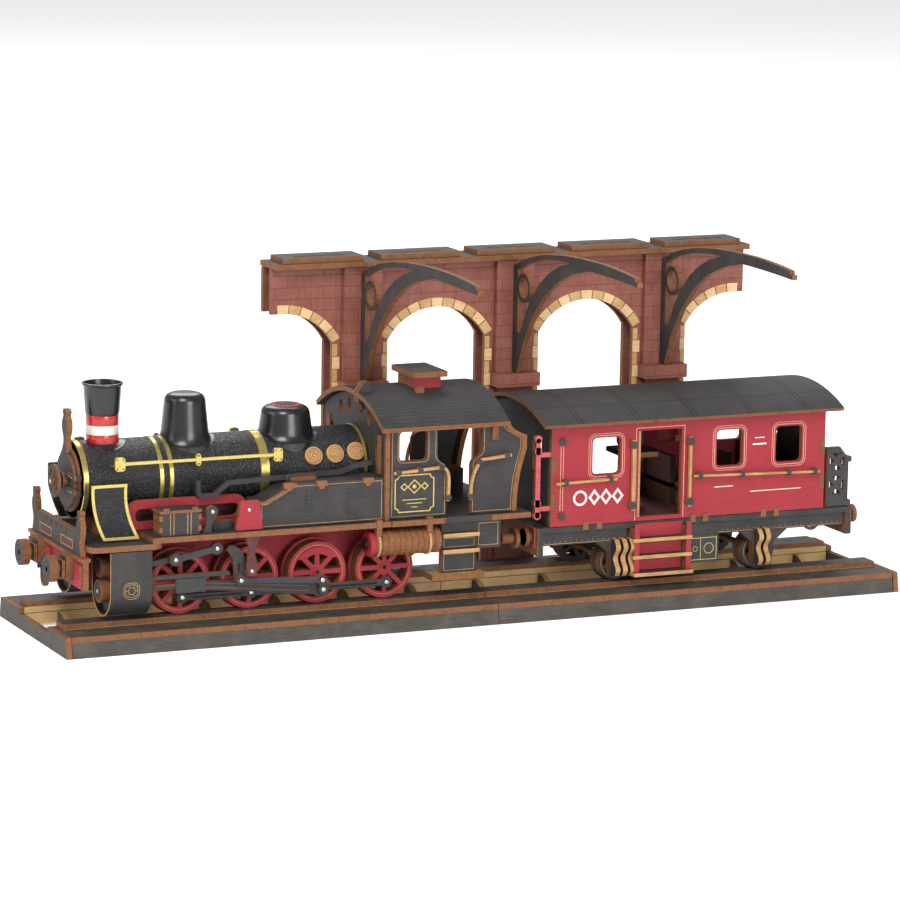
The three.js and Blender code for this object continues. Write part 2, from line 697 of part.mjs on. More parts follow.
function wheelWindows(rimInner, hub, spoke, count) {
  return Array.from({ length: count }, (_, i) => {
    const mid = (2 * Math.PI * (i + 0.5)) / count;
    const inner = Math.PI / count - Math.asin(spoke / 2 / hub);
    const outer = Math.PI / count - Math.asin(spoke / 2 / rimInner);
    return [
      ...arc(0, 0, hub, mid - inner, mid + inner, 1), ...arc(0, 0, rimInner, mid + outer, mid - outer, 2),
    ];
  });
}

// spoked face, tread disc and flange disc of one wheel, about the axle
function makeWheel(side, radius, spec) {
  const { face, width, flange, flangeWidth, rimInner, hub, spoke, windows, sides } = spec;
  const spokes = outline(disc(0, 0, radius, sides), wheelWindows(rimInner, hub, spoke, windows));
  return join(
    sideUpright(side, spokes, face - sheet, face),
    sideUpright(side, disc(0, 0, radius, sides), face - width, face - sheet),
    sideUpright(side, disc(0, 0, radius + flange, sides), face - width - flangeWidth, face - width),
  );
}

function makeDrivingSet(index) {
  const spec = { ...wheel, sides: 28 };
  const axle = upright(disc(0, 0, wheel.axle, 8), -wheel.face + sheet, wheel.face - sheet);
  const pieces = [near, far].flatMap((side) => {
    const [px, pz] = quarter[side](0, -motion.crank);
    const [rx, rz] = quarter[side](motion.returnX, motion.returnZ);
    const isMain = index === mainAxle;
    const pinEnd = isMain ? crankInner + 0.1 : rodOuter + 0.4;
    const pin = rodAlongY(side, px, pz, motion.pin, wheel.face - 0.5, pinEnd, 8);
    const own = [makeWheel(side, wheel.radius, spec), pin];
    if (isMain) {
      const ends = [disc(px, pz, 1.9, 10), disc(rx, rz, 1.7, 10)];
      own.push(...ends.map((d) => sideUpright(side, d, crankInner, crankOuter)));
      own.push(sideUpright(side, bar([px, pz], [rx, rz], 2.6), crankInner, crankOuter));
      own.push(rodAlongY(side, rx, rz, motion.pin, crankInner + 0.1, eccentricOuter + 0.4, 8));
    }
    return own;
  });
  return join(axle, pieces);
}

// corner points of a straight bar between two places
function bar([ax, az], [bx, bz], height) {
  const length = Math.hypot(bx - ax, bz - az);
  const [nx, nz] = [(-(bz - az) / length) * height / 2, ((bx - ax) / length) * height / 2];
  return [[ax - nx, az - nz], [bx - nx, bz - nz], [bx + nx, bz + nz], [ax + nx, az + nz]];
}

// a flat rod: bosses joined by bars, with a bore in each boss that turns on a pin
function makeRod(side, places, height, boss, bores, y0, y1) {
  const parts = places.map(([x, z]) => sideUpright(side, disc(x, z, boss, 10), y0, y1));
  for (let i = 1; i < places.length; i++) {
    parts.push(sideUpright(side, bar(places[i - 1], places[i], height), y0, y1));
  }
  const tools = bores.map(([x, z]) => rodAlongY(side, x, z, motion.pin + motion.bearing, y0 - 1, y1 + 1, 8));
  return cut(join(parts), tools);
}

const crankPin = (side) => quarter[side](0, -motion.crank);
const mainReach = Math.hypot(axleX[mainAxle] - motion.crossheadX, motion.crank);

// where the main rod of one side meets its crosshead, from the main axle
function crossheadOffset(side) {
  const [px, pz] = crankPin(side);
  return px - Math.sqrt(mainReach ** 2 - pz ** 2);
}

// the rods below are drawn from the pin that drives them
function makeCouplingRod(side) {
  const places = axleX.map((x) => [x - axleX[mainAxle], 0]);
  return makeRod(side, places, motion.rodHeight, motion.boss, places, rodInner, rodOuter);
}

function makeMainRod(side) {
  const { mainHeight, mainBoss } = motion;
  return makeRod(side, [[-mainReach, 0], [0, 0]], mainHeight, mainBoss, [[0, 0]], mainInner, mainOuter);
}

function makeEccentricRod(side) {
  const places = [[-motion.eccentricRun, 0], [0, 0]];
  return makeRod(side, places, 2, 2, [[0, 0]], eccentricInner, eccentricOuter);
}

// block that slides under its guide, with the piston rod, from the pin of the crosshead
function makeCrosshead(side) {
  const y0 = mainOuter + motion.layer;
  const rodFront = cylinder.rear - 7 - motion.crossheadX;
  return join(
    sideBlock(side, -8, 5, y0, y0 + 3, -2.6, 3.3),
    rodAlongX(side * cylinder.rodY, 0, motion.pin + gap, rodFront, -7, 10),
  );
}

// slotted link, about its pivot
function makeExpansionLink(side) {
  const shape = new THREE.Shape();
  shape.moveTo(-2.4, 0);
  shape.quadraticCurveTo(-3.6, motion.linkTop * 0.6, -5.4, motion.linkTop + 0.6);
  shape.lineTo(-4, motion.linkTop + 2.4);
  shape.quadraticCurveTo(1.4, motion.linkTop + 1.6, 2.6, 0);
  shape.quadraticCurveTo(3.2, -4, 2, -motion.linkFoot);
  shape.absarc(0, -motion.linkFoot, 2, 0, -Math.PI, true);
  shape.closePath();
  const slot = outline(roundedBox(-0.7, 0.7, -motion.linkFoot + 3.4, -1.6, 0.6));
  shape.holes = [slot];
  return sideUpright(side, shape, crankInner, crankOuter);
}

function addMotion(group, side) {
  const name = sideName(side);
  const at = (mesh, x, z, turn = 0) => {
    mesh.position.set(x, 0, z);
    mesh.rotation.y = -turn;
  };
  const [px, pz] = crankPin(side);
  const pinX = axleX[mainAxle] + px;
  const pinZ = axleZ + pz;
  const crossX = axleX[mainAxle] + crossheadOffset(side);
  const tilt = Math.asin(pz / mainReach);
  at(addPiece(group, `coupling_rod_${name}`, makeCouplingRod(side), blackLeather()), pinX, pinZ);
  at(addPiece(group, `main_rod_${name}`, makeMainRod(side), blackLeather()), pinX, pinZ, tilt);
  at(addPiece(group, `crosshead_${name}`, makeCrosshead(side), greyPrint()), crossX, axleZ);
  const [rx, rz] = quarter[side](motion.returnX, motion.returnZ);
  const returnPinX = axleX[mainAxle] + rx;
  const footX = returnPinX - motion.eccentricRun;
  const swing = Math.asin((footX - motion.pivotX) / motion.linkFoot);
  const footZ = motion.pivotZ - motion.linkFoot * Math.cos(swing);
  const eccentricTilt = Math.asin((axleZ + rz - footZ) / motion.eccentricRun);
  const eccentric = addPiece(group, `eccentric_rod_${name}`, makeEccentricRod(side), blackLeather());
  at(eccentric, returnPinX, axleZ + rz, eccentricTilt);
  const link = addPiece(group, `expansion_link_${name}`, makeExpansionLink(side), greyPrint());
  at(link, motion.pivotX, motion.pivotZ, swing);
}

function makeLocomotive() {
  const group = new THREE.Group();
  addPiece(group, 'chassis_frame', makeChassis(), redPrint());
  addPiece(group, 'buffer_beam', makeBufferBeam(), redPrint());
  addPiece(group, 'running_board', makeRunningBoard(), greyPrint());
  addPiece(group, 'boiler', makeBoiler(), blackLeather());
  addPiece(group, 'chimney', makeChimney(), blackGloss()).position.x = chimney.x;
  addPiece(group, 'front_dome', makeDome(domes.front), blackGloss()).position.x = domes.front.x;
  addPiece(group, 'rear_dome', makeDome(domes.rear), blackGloss()).position.x = domes.rear.x;
  addPiece(group, 'smokebox_door', makeSmokeDoor(), greyPrint());
  addPiece(group, 'cab_front_wall', makeCabFront(), greyPrint());
  addPiece(group, 'cab_floor', makeCabFloor(), greyPrint());
  addPiece(group, 'cab_roof', makeRoof(cabRoof), greyPrint());
  addPiece(group, 'cab_ventilator', makeVent(), burntWood());
  addPiece(group, 'front_ring_link', makeRingLink(), burntWood()).position.set(ringLink.x, 0, ringLink.z);
  for (const side of [near, far]) {
    addPiece(group, `side_tank_${sideName(side)}`, makeTank(side), greyPrint());
    addPiece(group, `cab_side_${sideName(side)}`, makeCabSide(side), greyPrint());
    addPiece(group, `cylinder_${sideName(side)}`, makeCylinder(side), greyPrint());
    addPiece(group, `air_tank_${sideName(side)}`, makeAirTank(side), burntWood());
    addMotion(group, side);
  }
  axleX.forEach((x, i) => {
    addPiece(group, `driving_wheelset_${i + 1}`, makeDrivingSet(i), redPrint()).position.set(x, 0, axleZ);
  });
  return group;
}

// ---------------------------------------------------------------- coach
function makeCoachSide(side) {
  const { x0, x1, half, sill, windows: places, windowZ, door, doorZ } = coach;
  const top = underRoof(coach, half);
  const holes = places.map(([a, b]) => outline(roundedBox(a, b, ...windowZ, 2)));
  holes.push(outline(rect(...door, ...doorZ)));
  return sideUpright(side, outline(rect(x0, x1, sill, top), holes), half - sheet, half);
}

function makeCoachEnd(x0) {
  const holes = [near, far].map((s) => roundedBox(s * 15 - 4.5, s * 15 + 4.5, ...coach.windowZ, 2));
  return archedWall(coach, coach.half - sheet - gap, coach.sill, x0, x0 + sheet, holes);
}

// floor, solebars, end beams with buffers, axle guards, steps and battery boxes
function makeUnderframe() {
  const { half, floorZ, floorRear, soleZ, front, axleX: axles } = coach;
  const floorTop = floorZ + sheet;
  const low = soleZ - 4.4;
  const parts = [
    block(front, floorRear, -half, half, floorZ, floorTop),
    block(front, front + sheet, -half, half, low, floorZ + 0.1),
    block(floorRear - sheet, floorRear, -half, half, low, floorZ + 0.1),
  ];
  for (const s of [near, far]) {
    parts.push(sideBlock(s, front, floorRear, half - 2 * sheet, half - sheet, soleZ, floorZ + 0.1));
    for (const x of axles) {
      const right = [[4.2, 13.2], [5.4, 24], [13, soleZ + 1]];
      const left = right.map(([dx, z]) => [x - dx, z]).reverse();
      const guard = [...right.map(([dx, z]) => [x + dx, z]), ...left];
      parts.push(sideUpright(s, guard, half - 2 * sheet, half - sheet));
    }
    const [d0, d1] = coach.door;
    for (const x of [d0 - 3, d1 + 0.6]) {
      parts.push(sideBlock(s, x, x + sheet, half - 2 * sheet, half + 4, 14.4, floorZ + 0.1));
    }
    for (const [z, reach] of [[14, 6], [21.5, 4.6], [29, 4.6]]) {
      parts.push(sideBlock(s, d0 - 3.4, d1 + 3.4, half - 2, half + reach, z, z + thin));
    }
    parts.push(sideBlock(s, d1 + 4.4, d1 + 19.4, half - 2 * sheet, half - 1, 17, floorZ + 0.1));
    for (const [x0, x1] of [[front - 4.6, front + 0.1], [floorRear - 0.1, floorRear + 4.6]]) {
      parts.push(rodAlongX(s * 24, 33, 2, x0, x1, 10));
      const discX = x0 < front ? x0 : x1 - sheet;
      parts.push(rodAlongX(s * 24, 33, 3.8, discX, discX + sheet, 14));
    }
  }
  return join(parts);
}

function makeCoachSet() {
  const spec = {
    face: wheel.face, width: wheel.width, flange: 0.8, flangeWidth: wheel.flangeWidth, rimInner: 5.8,
    hub: 2, spoke: 1.6, windows: 4, sides: 20,
  };
  const axle = upright(disc(0, 0, 1.2, 8), -wheel.face + sheet, wheel.face - sheet);
  return join(axle, [near, far].map((side) => makeWheel(side, coach.wheelRadius, spec)));
}

function makeCoach() {
  const group = new THREE.Group();
  for (const side of [near, far]) {
    addPiece(group, `coach_side_${sideName(side)}`, makeCoachSide(side), redPrint());
  }
  addPiece(group, 'coach_end_front', makeCoachEnd(coach.x0), greyPrint());
  addPiece(group, 'coach_end_rear', makeCoachEnd(coach.x1 - sheet), greyPrint());
  addPiece(group, 'coach_underframe', makeUnderframe(), greyPrint());
  addPiece(group, 'coach_roof', makeRoof(coach), greyPrint());
  coach.axleX.forEach((x, i) => {
    const name = i === 0 ? 'front' : 'rear';
    addPiece(group, `coach_wheelset_${name}`, makeCoachSet(), greyPrint()).position.set(x, 0, coachAxleZ);
  });
  return group;
}

// ---------------------------------------------------------------- the whole model
// the model's origin is below the middle of its outline, on the table
const wallBack = arcade.faceY + arcade.depth + sheet / 2;
const layout = new THREE.Group();
layout.add(makeTrack(), makeArcade(), makeLocomotive(), makeCoach());
layout.position.y = -(bracketTip + wallBack) / 2;

const model = new THREE.Group();
model.name = 'wooden_train_model';
model.add(layout);

export default model;
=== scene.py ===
import math

import bmesh
import bpy
import numpy as np
from mathutils import Matrix, Vector
from mathutils.geometry import tessellate_polygon


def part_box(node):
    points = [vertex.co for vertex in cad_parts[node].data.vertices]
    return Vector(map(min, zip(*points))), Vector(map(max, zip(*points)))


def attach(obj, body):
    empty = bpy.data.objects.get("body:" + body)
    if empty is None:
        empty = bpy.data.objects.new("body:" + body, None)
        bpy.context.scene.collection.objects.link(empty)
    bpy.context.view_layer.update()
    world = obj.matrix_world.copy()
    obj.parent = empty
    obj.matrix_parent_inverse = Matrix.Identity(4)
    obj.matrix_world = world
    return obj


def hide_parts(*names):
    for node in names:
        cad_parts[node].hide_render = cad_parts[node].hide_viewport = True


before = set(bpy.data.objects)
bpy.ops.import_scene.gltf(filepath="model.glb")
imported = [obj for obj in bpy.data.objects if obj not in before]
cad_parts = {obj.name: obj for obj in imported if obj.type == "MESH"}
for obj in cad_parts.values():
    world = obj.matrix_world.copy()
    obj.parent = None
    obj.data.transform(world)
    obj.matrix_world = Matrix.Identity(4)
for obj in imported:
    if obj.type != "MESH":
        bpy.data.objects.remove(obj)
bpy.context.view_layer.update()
print("frame loaded")

# All sizes below are millimetres on the layout: X from the middle of the track towards the coach,
# Y from the middle of the track towards the arcade, Z up from the table.
boilerLow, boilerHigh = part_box("boiler")
trackMiddle = (boilerLow.y + boilerHigh.y) / 2
near, far = -1, 1
sheet = 2.4  # thickness of the plywood
sideNames = {near: "near", far: "far"}


def nodeBox(name):
    # a node's two corners in millimetres on the layout: (corner - middle of the track) * 1000
    low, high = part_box(name)
    shift = Vector((0, trackMiddle, 0))
    return [list((v - shift) * 1000) for v in (low, high)]


# points and outlines
def arc(a, b, r, start, end, steps=12):
    # points of a circle about (a, b), angles in degrees
    t = np.radians(np.linspace(start, end, steps + 1))
    return np.column_stack([a + r * np.cos(t), b + r * np.sin(t)])


def circle(a, b, r, steps=40):
    # a whole turn of arc, without its repeated last point
    return arc(a, b, r, 0, 360, steps)[:-1]


def oval(a, b, ra, rb, steps=28):
    # unit circle times (ra, rb), moved to (a, b)
    return circle(0, 0, 1, steps) * [ra, rb] + [a, b]


def rect(a0, a1, b0, b1):
    # four corners, one after the other round the rectangle
    return np.array([[a0, b0], [a1, b0], [a1, b1], [a0, b1]], float)


def roundRect(a0, a1, b0, b1, r, steps=5):
    # a quarter turn of radius r about each corner's centre
    corners = [(a1 - r, b0 + r, -90), (a1 - r, b1 - r, 0), (a0 + r, b1 - r, 90), (a0 + r, b0 + r, 180)]
    return np.vstack([arc(a, b, r, t, t + 90, steps) for a, b, t in corners])


def bezier(p0, p1, p2, p3, steps=10):
    # cubic curve through p0 and p3, pulled by p1 and p2
    t = np.linspace(0, 1, steps + 1)[:, None]
    p0, p1, p2, p3 = (np.array(p, float) for p in (p0, p1, p2, p3))
    return (1 - t) ** 3 * p0 + 3 * t * (1 - t) ** 2 * p1 + 3 * t**2 * (1 - t) * p2 + t**3 * p3


def trail(*parts):
    # one outline from points and stretches of points
    return np.vstack([np.atleast_2d(np.asarray(p, float)) for p in parts])


def spread(plane, points, level):
    # flat points on the plane whose normal is x, y or z, at a distance along that normal
    points = np.atleast_2d(np.asarray(points, float))
    out = np.empty((len(points), 3))
    axes = {"x": (1, 2, 0), "y": (0, 2, 1), "z": (0, 1, 2)}[plane]
    out[:, axes[0]], out[:, axes[1]], out[:, axes[2]] = points[:, 0], points[:, 1], level
    return out


# a piece gathers closed shells, then becomes one object
class Piece:
    def __init__(self, name):
        # verts and faces of every shell; kinds holds each face's place in paints
        self.name, self.verts, self.faces, self.kinds, self.paints = name, [], [], [], []
        self.count = 0

    def add(self, verts, groups):
        # one closed shell; its face numbers rise by the points that are there already
        for faces, paint in groups:
            if paint not in self.paints:
                self.paints.append(paint)
            rows = (np.asarray(faces) + self.count).tolist()
            self.faces += rows
            self.kinds += [self.paints.index(paint)] * len(rows)
        self.verts.append(np.asarray(verts, float))
        self.count += len(verts)

    def sheet(self, plane, outline, lo, hi, face, edge=None, holes=()):
        # flat outline with holes, given a thickness: two faces and a wall along every edge
        loops = [np.asarray(loop, float) for loop in (outline, *holes)]
        flat = np.vstack(loops)
        n = len(flat)
        tris = np.array(tessellate_polygon([[Vector((a, b, 0)) for a, b in loop] for loop in loops]))
        walls, start = [], 0
        for loop in loops:
            i = np.arange(len(loop))
            j = (i + 1) % len(loop)
            walls.append(np.column_stack([i, j, j + n, i + n]) + start)
            start += len(loop)
        verts = np.vstack([spread(plane, flat, min(lo, hi)), spread(plane, flat, max(lo, hi))])
        self.add(verts, [(np.vstack([tris, tris[:, ::-1] + n]), face), (np.vstack(walls), edge or face)])

    def block(self, x0, x1, y0, y1, z0, z1, face, edge=None, plane="y"):
        # box, as a sheet whose normal is x, y or z
        spans = {"x": (y0, y1, z0, z1, x0, x1), "y": (x0, x1, z0, z1, y0, y1), "z": (x0, x1, y0, y1, z0, z1)}
        a0, a1, b0, b1, lo, hi = spans[plane]
        self.sheet(plane, rect(a0, a1, b0, b1), lo, hi, face, edge)

    def lathe(self, plane, centre, profile, paint, steps=32):
        # (radius, level) profile turned about the plane's normal through centre; radius 0 closes each end
        t = np.linspace(0, 2 * np.pi, steps, endpoint=False)
        ringPoints = np.column_stack([np.cos(t), np.sin(t)])
        body = [(r, level) for r, level in profile if r > 0]
        verts = [spread(plane, ringPoints * r + np.asarray(centre), level) for r, level in body]
        verts += [spread(plane, [centre], profile[0][1]), spread(plane, [centre], profile[-1][1])]
        i = np.arange(steps)
        j = (i + 1) % steps
        quads = [np.column_stack([i, j, j + steps, i + steps]) + k * steps for k in range(len(body) - 1)]
        last = (len(body) - 1) * steps
        first, end = len(body) * steps, len(body) * steps + 1
        caps = np.vstack([np.column_stack([j, i, np.full(steps, first)]),
                          np.column_stack([i + last, j + last, np.full(steps, end)])])
        self.add(np.vstack(verts), [(np.vstack(quads), paint), (caps, paint)])

    def drum(self, plane, centre, r, lo, hi, face, edge=None, steps=32):
        # disc with a thickness
        self.sheet(plane, circle(*centre, r, steps), lo, hi, face, edge)

    def stud(self, plane, centre, r, level, rise, paint, steps=12):
        # low dome, rising from level towards the viewer of that face
        top = level + rise
        shoulder = level + rise * 0.6
        profile = [(0, level), (r, level), (r, shoulder), (r * 0.7, level + rise * 0.93), (0, top)]
        self.lathe(plane, centre, profile, paint, steps)

    def tube(self, path, r, paint, sides=10):
        # round section carried along a path, each ring square to the path, ends closed
        path = np.asarray(path, float)
        along = np.gradient(path, axis=0)
        along /= np.linalg.norm(along, axis=1)[:, None]
        side = np.cross(along, [0, 0.03, 1.0])
        side /= np.linalg.norm(side, axis=1)[:, None]
        up = np.cross(side, along)
        t = np.linspace(0, 2 * np.pi, sides, endpoint=False)
        rings = path[:, None] + r * (side[:, None] * np.cos(t)[:, None] + up[:, None] * np.sin(t)[:, None])
        n = len(path)
        i = np.arange(sides)
        j = (i + 1) % sides
        quads = [np.column_stack([i, j, j + sides, i + sides]) + k * sides for k in range(n - 1)]
        last = (n - 1) * sides
        caps = np.vstack([np.column_stack([j, i, np.full(sides, n * sides)]),
                          np.column_stack([i + last, j + last, np.full(sides, n * sides + 1)])])
        verts = np.vstack([rings.reshape(-1, 3), path[:1], path[-1:]])
        self.add(verts, [(np.vstack(quads), paint), (caps, paint)])

    def line(self, plane, points, width, level, rise, paint, closed=False):
        # raised strip along a drawn line: the line is shifted half a width to either side
        p = np.asarray(points, float)
        before = np.roll(p, 1, axis=0) if closed else np.vstack([2 * p[:1] - p[1:2], p[:-1]])
        after = np.roll(p, -1, axis=0) if closed else np.vstack([p[1:], 2 * p[-1:] - p[-2:-1]])
        d0, d1 = p - before, after - p
        d0 = d0 / np.linalg.norm(d0, axis=1)[:, None]
        d1 = d1 / np.linalg.norm(d1, axis=1)[:, None]
        n0 = np.column_stack([-d0[:, 1], d0[:, 0]])
        n1 = np.column_stack([-d1[:, 1], d1[:, 0]])
        mitre = n0 + n1
        mitre /= np.maximum(np.sum(mitre * n0, axis=1), 0.35)[:, None]
        left, right = p + mitre * width / 2, p - mitre * width / 2
        if closed:
            big, small = (left, right) if abs(area(left)) > abs(area(right)) else (right, left)
            self.sheet(plane, big, level, level + rise, paint, holes=[small])
        else:
            self.sheet(plane, np.vstack([left, right[::-1]]), level, level + rise, paint)

    def build(self, body, replaced=()):
        # one object in metres, y moved by the track's middle; edges over 36 degrees stay sharp
        verts = np.vstack(self.verts)
        verts[:, 1] += trackMiddle * 1000
        mesh = bpy.data.meshes.new(self.name)
        mesh.from_pydata((verts / 1000).tolist(), [], self.faces)
        for name in self.paints:
            mesh.materials.append(paints[name])
        mesh.polygons.foreach_set("material_index", self.kinds)
        work = bmesh.new()
        work.from_mesh(mesh)
        bmesh.ops.recalc_face_normals(work, faces=work.faces)
        work.to_mesh(mesh)
        work.free()
        mesh.polygons.foreach_set("use_smooth", [True] * len(mesh.polygons))
        mesh.set_sharp_from_angle(angle=math.radians(36))
        mesh.update()
        thing = bpy.data.objects.new(self.name, mesh)
        bpy.context.scene.collection.objects.link(thing)
        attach(thing, body)
        if replaced:
            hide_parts(*replaced)
        return thing


def area(loop):
    # signed area of a closed outline
    a, b = loop[:, 0], loop[:, 1]
    return 0.5 * float(np.sum(a * np.roll(b, -1) - np.roll(a, -1) * b))


# shader maths on sockets
def linear(colour):
    # six-digit colour to the linear values that shaders use
    parts = [int(colour[i:i + 2], 16) / 255 for i in (1, 3, 5)]
    return tuple(c / 12.92 if c <= 0.04045 else ((c + 0.055) / 1.055) ** 2.4 for c in parts) + (1.0,)


class Sock:
    # a node's output that takes part in sums
    def __init__(self, paint, socket):
        self.paint, self.socket = paint, socket

    def maths(self, operation, a, b):
        # one sum, as a node
        return self.paint.node("Math", {"operation": operation}, {0: a, 1: b})

    def __add__(self, other):
        # self + other
        return self.maths("ADD", self, other)

    def __sub__(self, other):
        # self - other
        return self.maths("SUBTRACT", self, other)

    def __rsub__(self, other):
        # other - self
        return self.maths("SUBTRACT", other, self)

    def __mul__(self, other):
        # self * other
        return self.maths("MULTIPLY", self, other)

    def __truediv__(self, other):
        # self / other
        return self.maths("DIVIDE", self, other)

    def __gt__(self, other):
        # 1 where self > other, else 0
        return self.maths("GREATER_THAN", self, other)

    def __lt__(self, other):
        # 1 where self < other, else 0
        return self.maths("LESS_THAN", self, other)

    __radd__, __rmul__ = __add__, __mul__


class Paint:
    def __init__(self, name):
        # new material; coords gives the object's own coordinates and normals
        self.material = bpy.data.materials.new(name)
        self.material.use_nodes = True
        self.tree = self.material.node_tree
        self.shader = self.tree.nodes["Principled BSDF"]
        self.coords = self.tree.nodes.new("ShaderNodeTexCoord")

    def node(self, kind, settings=None, values=None, out=0):
        # makes a node, sets its properties and inputs, and hands back one output
        made = self.tree.nodes.new("ShaderNode" + kind)
        for key, value in (settings or {}).items():
            if key == "stops":
                for stop, (place, colour) in zip(self.stops(made, len(value)), value):
                    stop.position, stop.color = place, colour
            else:
                setattr(made, key, value)
        for key, value in (values or {}).items():
            self.feed(made.inputs[key], value)
        return Sock(self, made.outputs[out])

    def stops(self, ramp, count):
        # the colour ramp's stops, made up to the count
        elements = ramp.color_ramp.elements
        while len(elements) < count:
            elements.new(1)
        return list(elements)

    def feed(self, socket, value):
        # a socket is linked, anything else becomes the input's value
        if isinstance(value, Sock):
            self.tree.links.new(value.socket, socket)
        else:
            socket.default_value = value

    def place(self, scale):
        # object coordinates times the scale
        return self.node("Mapping", {"vector_type": "POINT"},
                         {0: Sock(self, self.coords.outputs["Object"]), 3: scale})

    def noise(self, scale, detail=3.0, rough=0.55, squash=(1, 1, 1)):
        # noise with scale * squash cells a metre along each axis
        stretched = self.place(tuple(scale * s for s in squash))
        return self.node("TexNoise", {},
                         {"Vector": stretched, "Scale": 1.0, "Detail": detail, "Roughness": rough})

    def axes(self, output="Object"):
        # x, y and z of the coordinates or of the normal
        split = self.tree.nodes.new("ShaderNodeSeparateXYZ")
        self.tree.links.new(self.coords.outputs[output], split.inputs[0])
        return [Sock(self, split.outputs[i]) for i in range(3)]

    def mix(self, factor, a, b, blend="MIX"):
        # colour a * (1 - factor) + b * factor
        return self.node("Mix", {"data_type": "RGBA", "blend_type": blend}, {0: factor, 6: a, 7: b}, out=2)

    def blendNumber(self, factor, a, b):
        # number a * (1 - factor) + b * factor
        return self.node("Mix", {"data_type": "FLOAT"}, {0: factor, 2: a, 3: b})

    def between(self, value, low, high):
        # 0 below low, 1 above high
        return self.node("MapRange", {}, {0: value, 1: low, 2: high, 3: 0.0, 4: 1.0})

    def size(self, value):
        # absolute value
        return self.node("Math", {"operation": "ABSOLUTE"}, {0: value})

    def fold(self, value, pitch):
        # distance from the nearest line of a row of lines, as a share of the pitch
        part = self.node("Math", {"operation": "FRACT"}, {0: value / pitch})
        return self.size(part - 0.5)

    def finish(self, colour, rough, height=None, depth=0.0001, metal=0.0, coat=0.0, coatRough=0.15):
        # colour, roughness and bump into the shader
        self.feed(self.shader.inputs["Base Color"], colour)
        self.feed(self.shader.inputs["Roughness"], rough)
        self.feed(self.shader.inputs["Metallic"], metal)
        self.shader.inputs["Coat Weight"].default_value = coat
        self.shader.inputs["Coat Roughness"].default_value = coatRough
        if height is not None:
            bump = self.node("Bump", {}, {"Strength": 0.6, "Distance": depth, "Height": height})
            self.feed(self.shader.inputs["Normal"], bump)
        return self.material


# every finish: colours are what a user would change
prints = {
    "grey": {"base": "#2d2b2c", "deep": "#211f20", "pale": "#4c443d", "fibre": 0.6},
    "roof": {"base": "#2f2e31", "deep": "#232224", "pale": "#4a443e", "fibre": 0.6},
    "ballast": {"base": "#433e39", "deep": "#312c27", "pale": "#625a52", "fibre": 0.8},
    "red": {"base": "#981e2b", "deep": "#8d1a26", "pale": "#a52d36", "fibre": 0.2},
    "pink": {"base": "#c04a52", "deep": "#aa3e46", "pale": "#cf6a68", "fibre": 0.25},
    "rod": {"base": "#303236", "deep": "#222326", "pale": "#4a4946", "fibre": 0.5},
    "cream": {"base": "#e3bd8b", "deep": "#cfa470", "pale": "#f0d6ac", "fibre": 0.5},
    "cream2": {"base": "#cba06a", "deep": "#b0844e", "pale": "#e0c08c", "fibre": 0.5},
    "bare": {"base": "#c7a670", "deep": "#ac8a55", "pale": "#d8bd8a", "fibre": 0.6},
    "light": {"base": "#b98f57", "deep": "#93683a", "pale": "#d1ac76", "fibre": 0.6},
    "stone": {"base": "#854739", "deep": "#713b30", "pale": "#9a6251", "fibre": 0.4},
    "wine": {"base": "#5a2428", "deep": "#3f181c", "pale": "#70383a", "fibre": 0.4},
}
burnt = {"light": "#8d5a31", "mid": "#6d4224", "char": "#42260f", "ply": 0.0008}


def printed(p, look, grain="x"):
    # wood fibre streaks along the grain, wide clouds of tone and pale flecks: colour, roughness, height
    tones = prints[look]
    stretch = {"x": (0.06, 1, 1), "y": (1, 0.06, 1), "z": (1, 1, 0.06)}[grain]
    streak = p.noise(2300.0, 4.0, 0.6, stretch)
    fine = p.noise(5200.0, 2.0, 0.5, stretch)
    cloud = p.noise(95.0, 3.0, 0.6)
    fleck = p.between(p.noise(1700.0, 2.0, 0.7), 0.64, 0.72)
    base = p.mix(p.between(streak, 0.36, 0.66), linear(tones["deep"]), linear(tones["base"]))
    base = p.mix(p.between(cloud, 0.42, 0.72) * 0.45, base, linear(tones["pale"]))
    base = p.mix(fleck * tones["fibre"] * 0.5, base, linear(tones["pale"]))
    rough = 0.5 + cloud * 0.22 + fine * 0.12
    return base, rough, streak * 0.7 + fine * 0.3


def scorched(p, axis):
    # laser-cut edge: ply lines square to the sheet, fine burn streaks across them: colour, roughness, height
    x, y, z = p.axes()
    along = {"x": x, "y": y, "z": z}[axis]
    squash = {"x": (0.15, 1, 1), "y": (1, 0.15, 1), "z": (1, 1, 0.15)}[axis]
    streak = p.noise(2600.0, 3.0, 0.6, squash)
    cloud = p.noise(260.0, 3.0, 0.6)
    lines = p.between(p.fold(along, burnt["ply"]), 0.36, 0.5)
    base = p.mix(p.between(streak, 0.35, 0.68), linear(burnt["mid"]), linear(burnt["light"]))
    base = p.mix(p.between(cloud, 0.5, 0.75) * 0.55, base, linear(burnt["char"]))
    base = p.mix(lines * 0.4, base, linear(burnt["char"]))
    return base, 0.62 + streak * 0.2, streak * 0.5 + (1 - lines) * 0.5


def printPaint(name, look, grain="x", extra=None):
    # printed sheet all over, with an extra pattern if one is given
    p = Paint(name)
    colour, rough, height = printed(p, look, grain)
    if extra:
        colour, height = extra(p, colour, height)
    return p.finish(colour, rough, height, 0.00012)


def edgePaint(name, axis):
    # scorched cut edge all over
    p = Paint(name)
    colour, rough, height = scorched(p, axis)
    return p.finish(colour, rough, height, 0.00015)


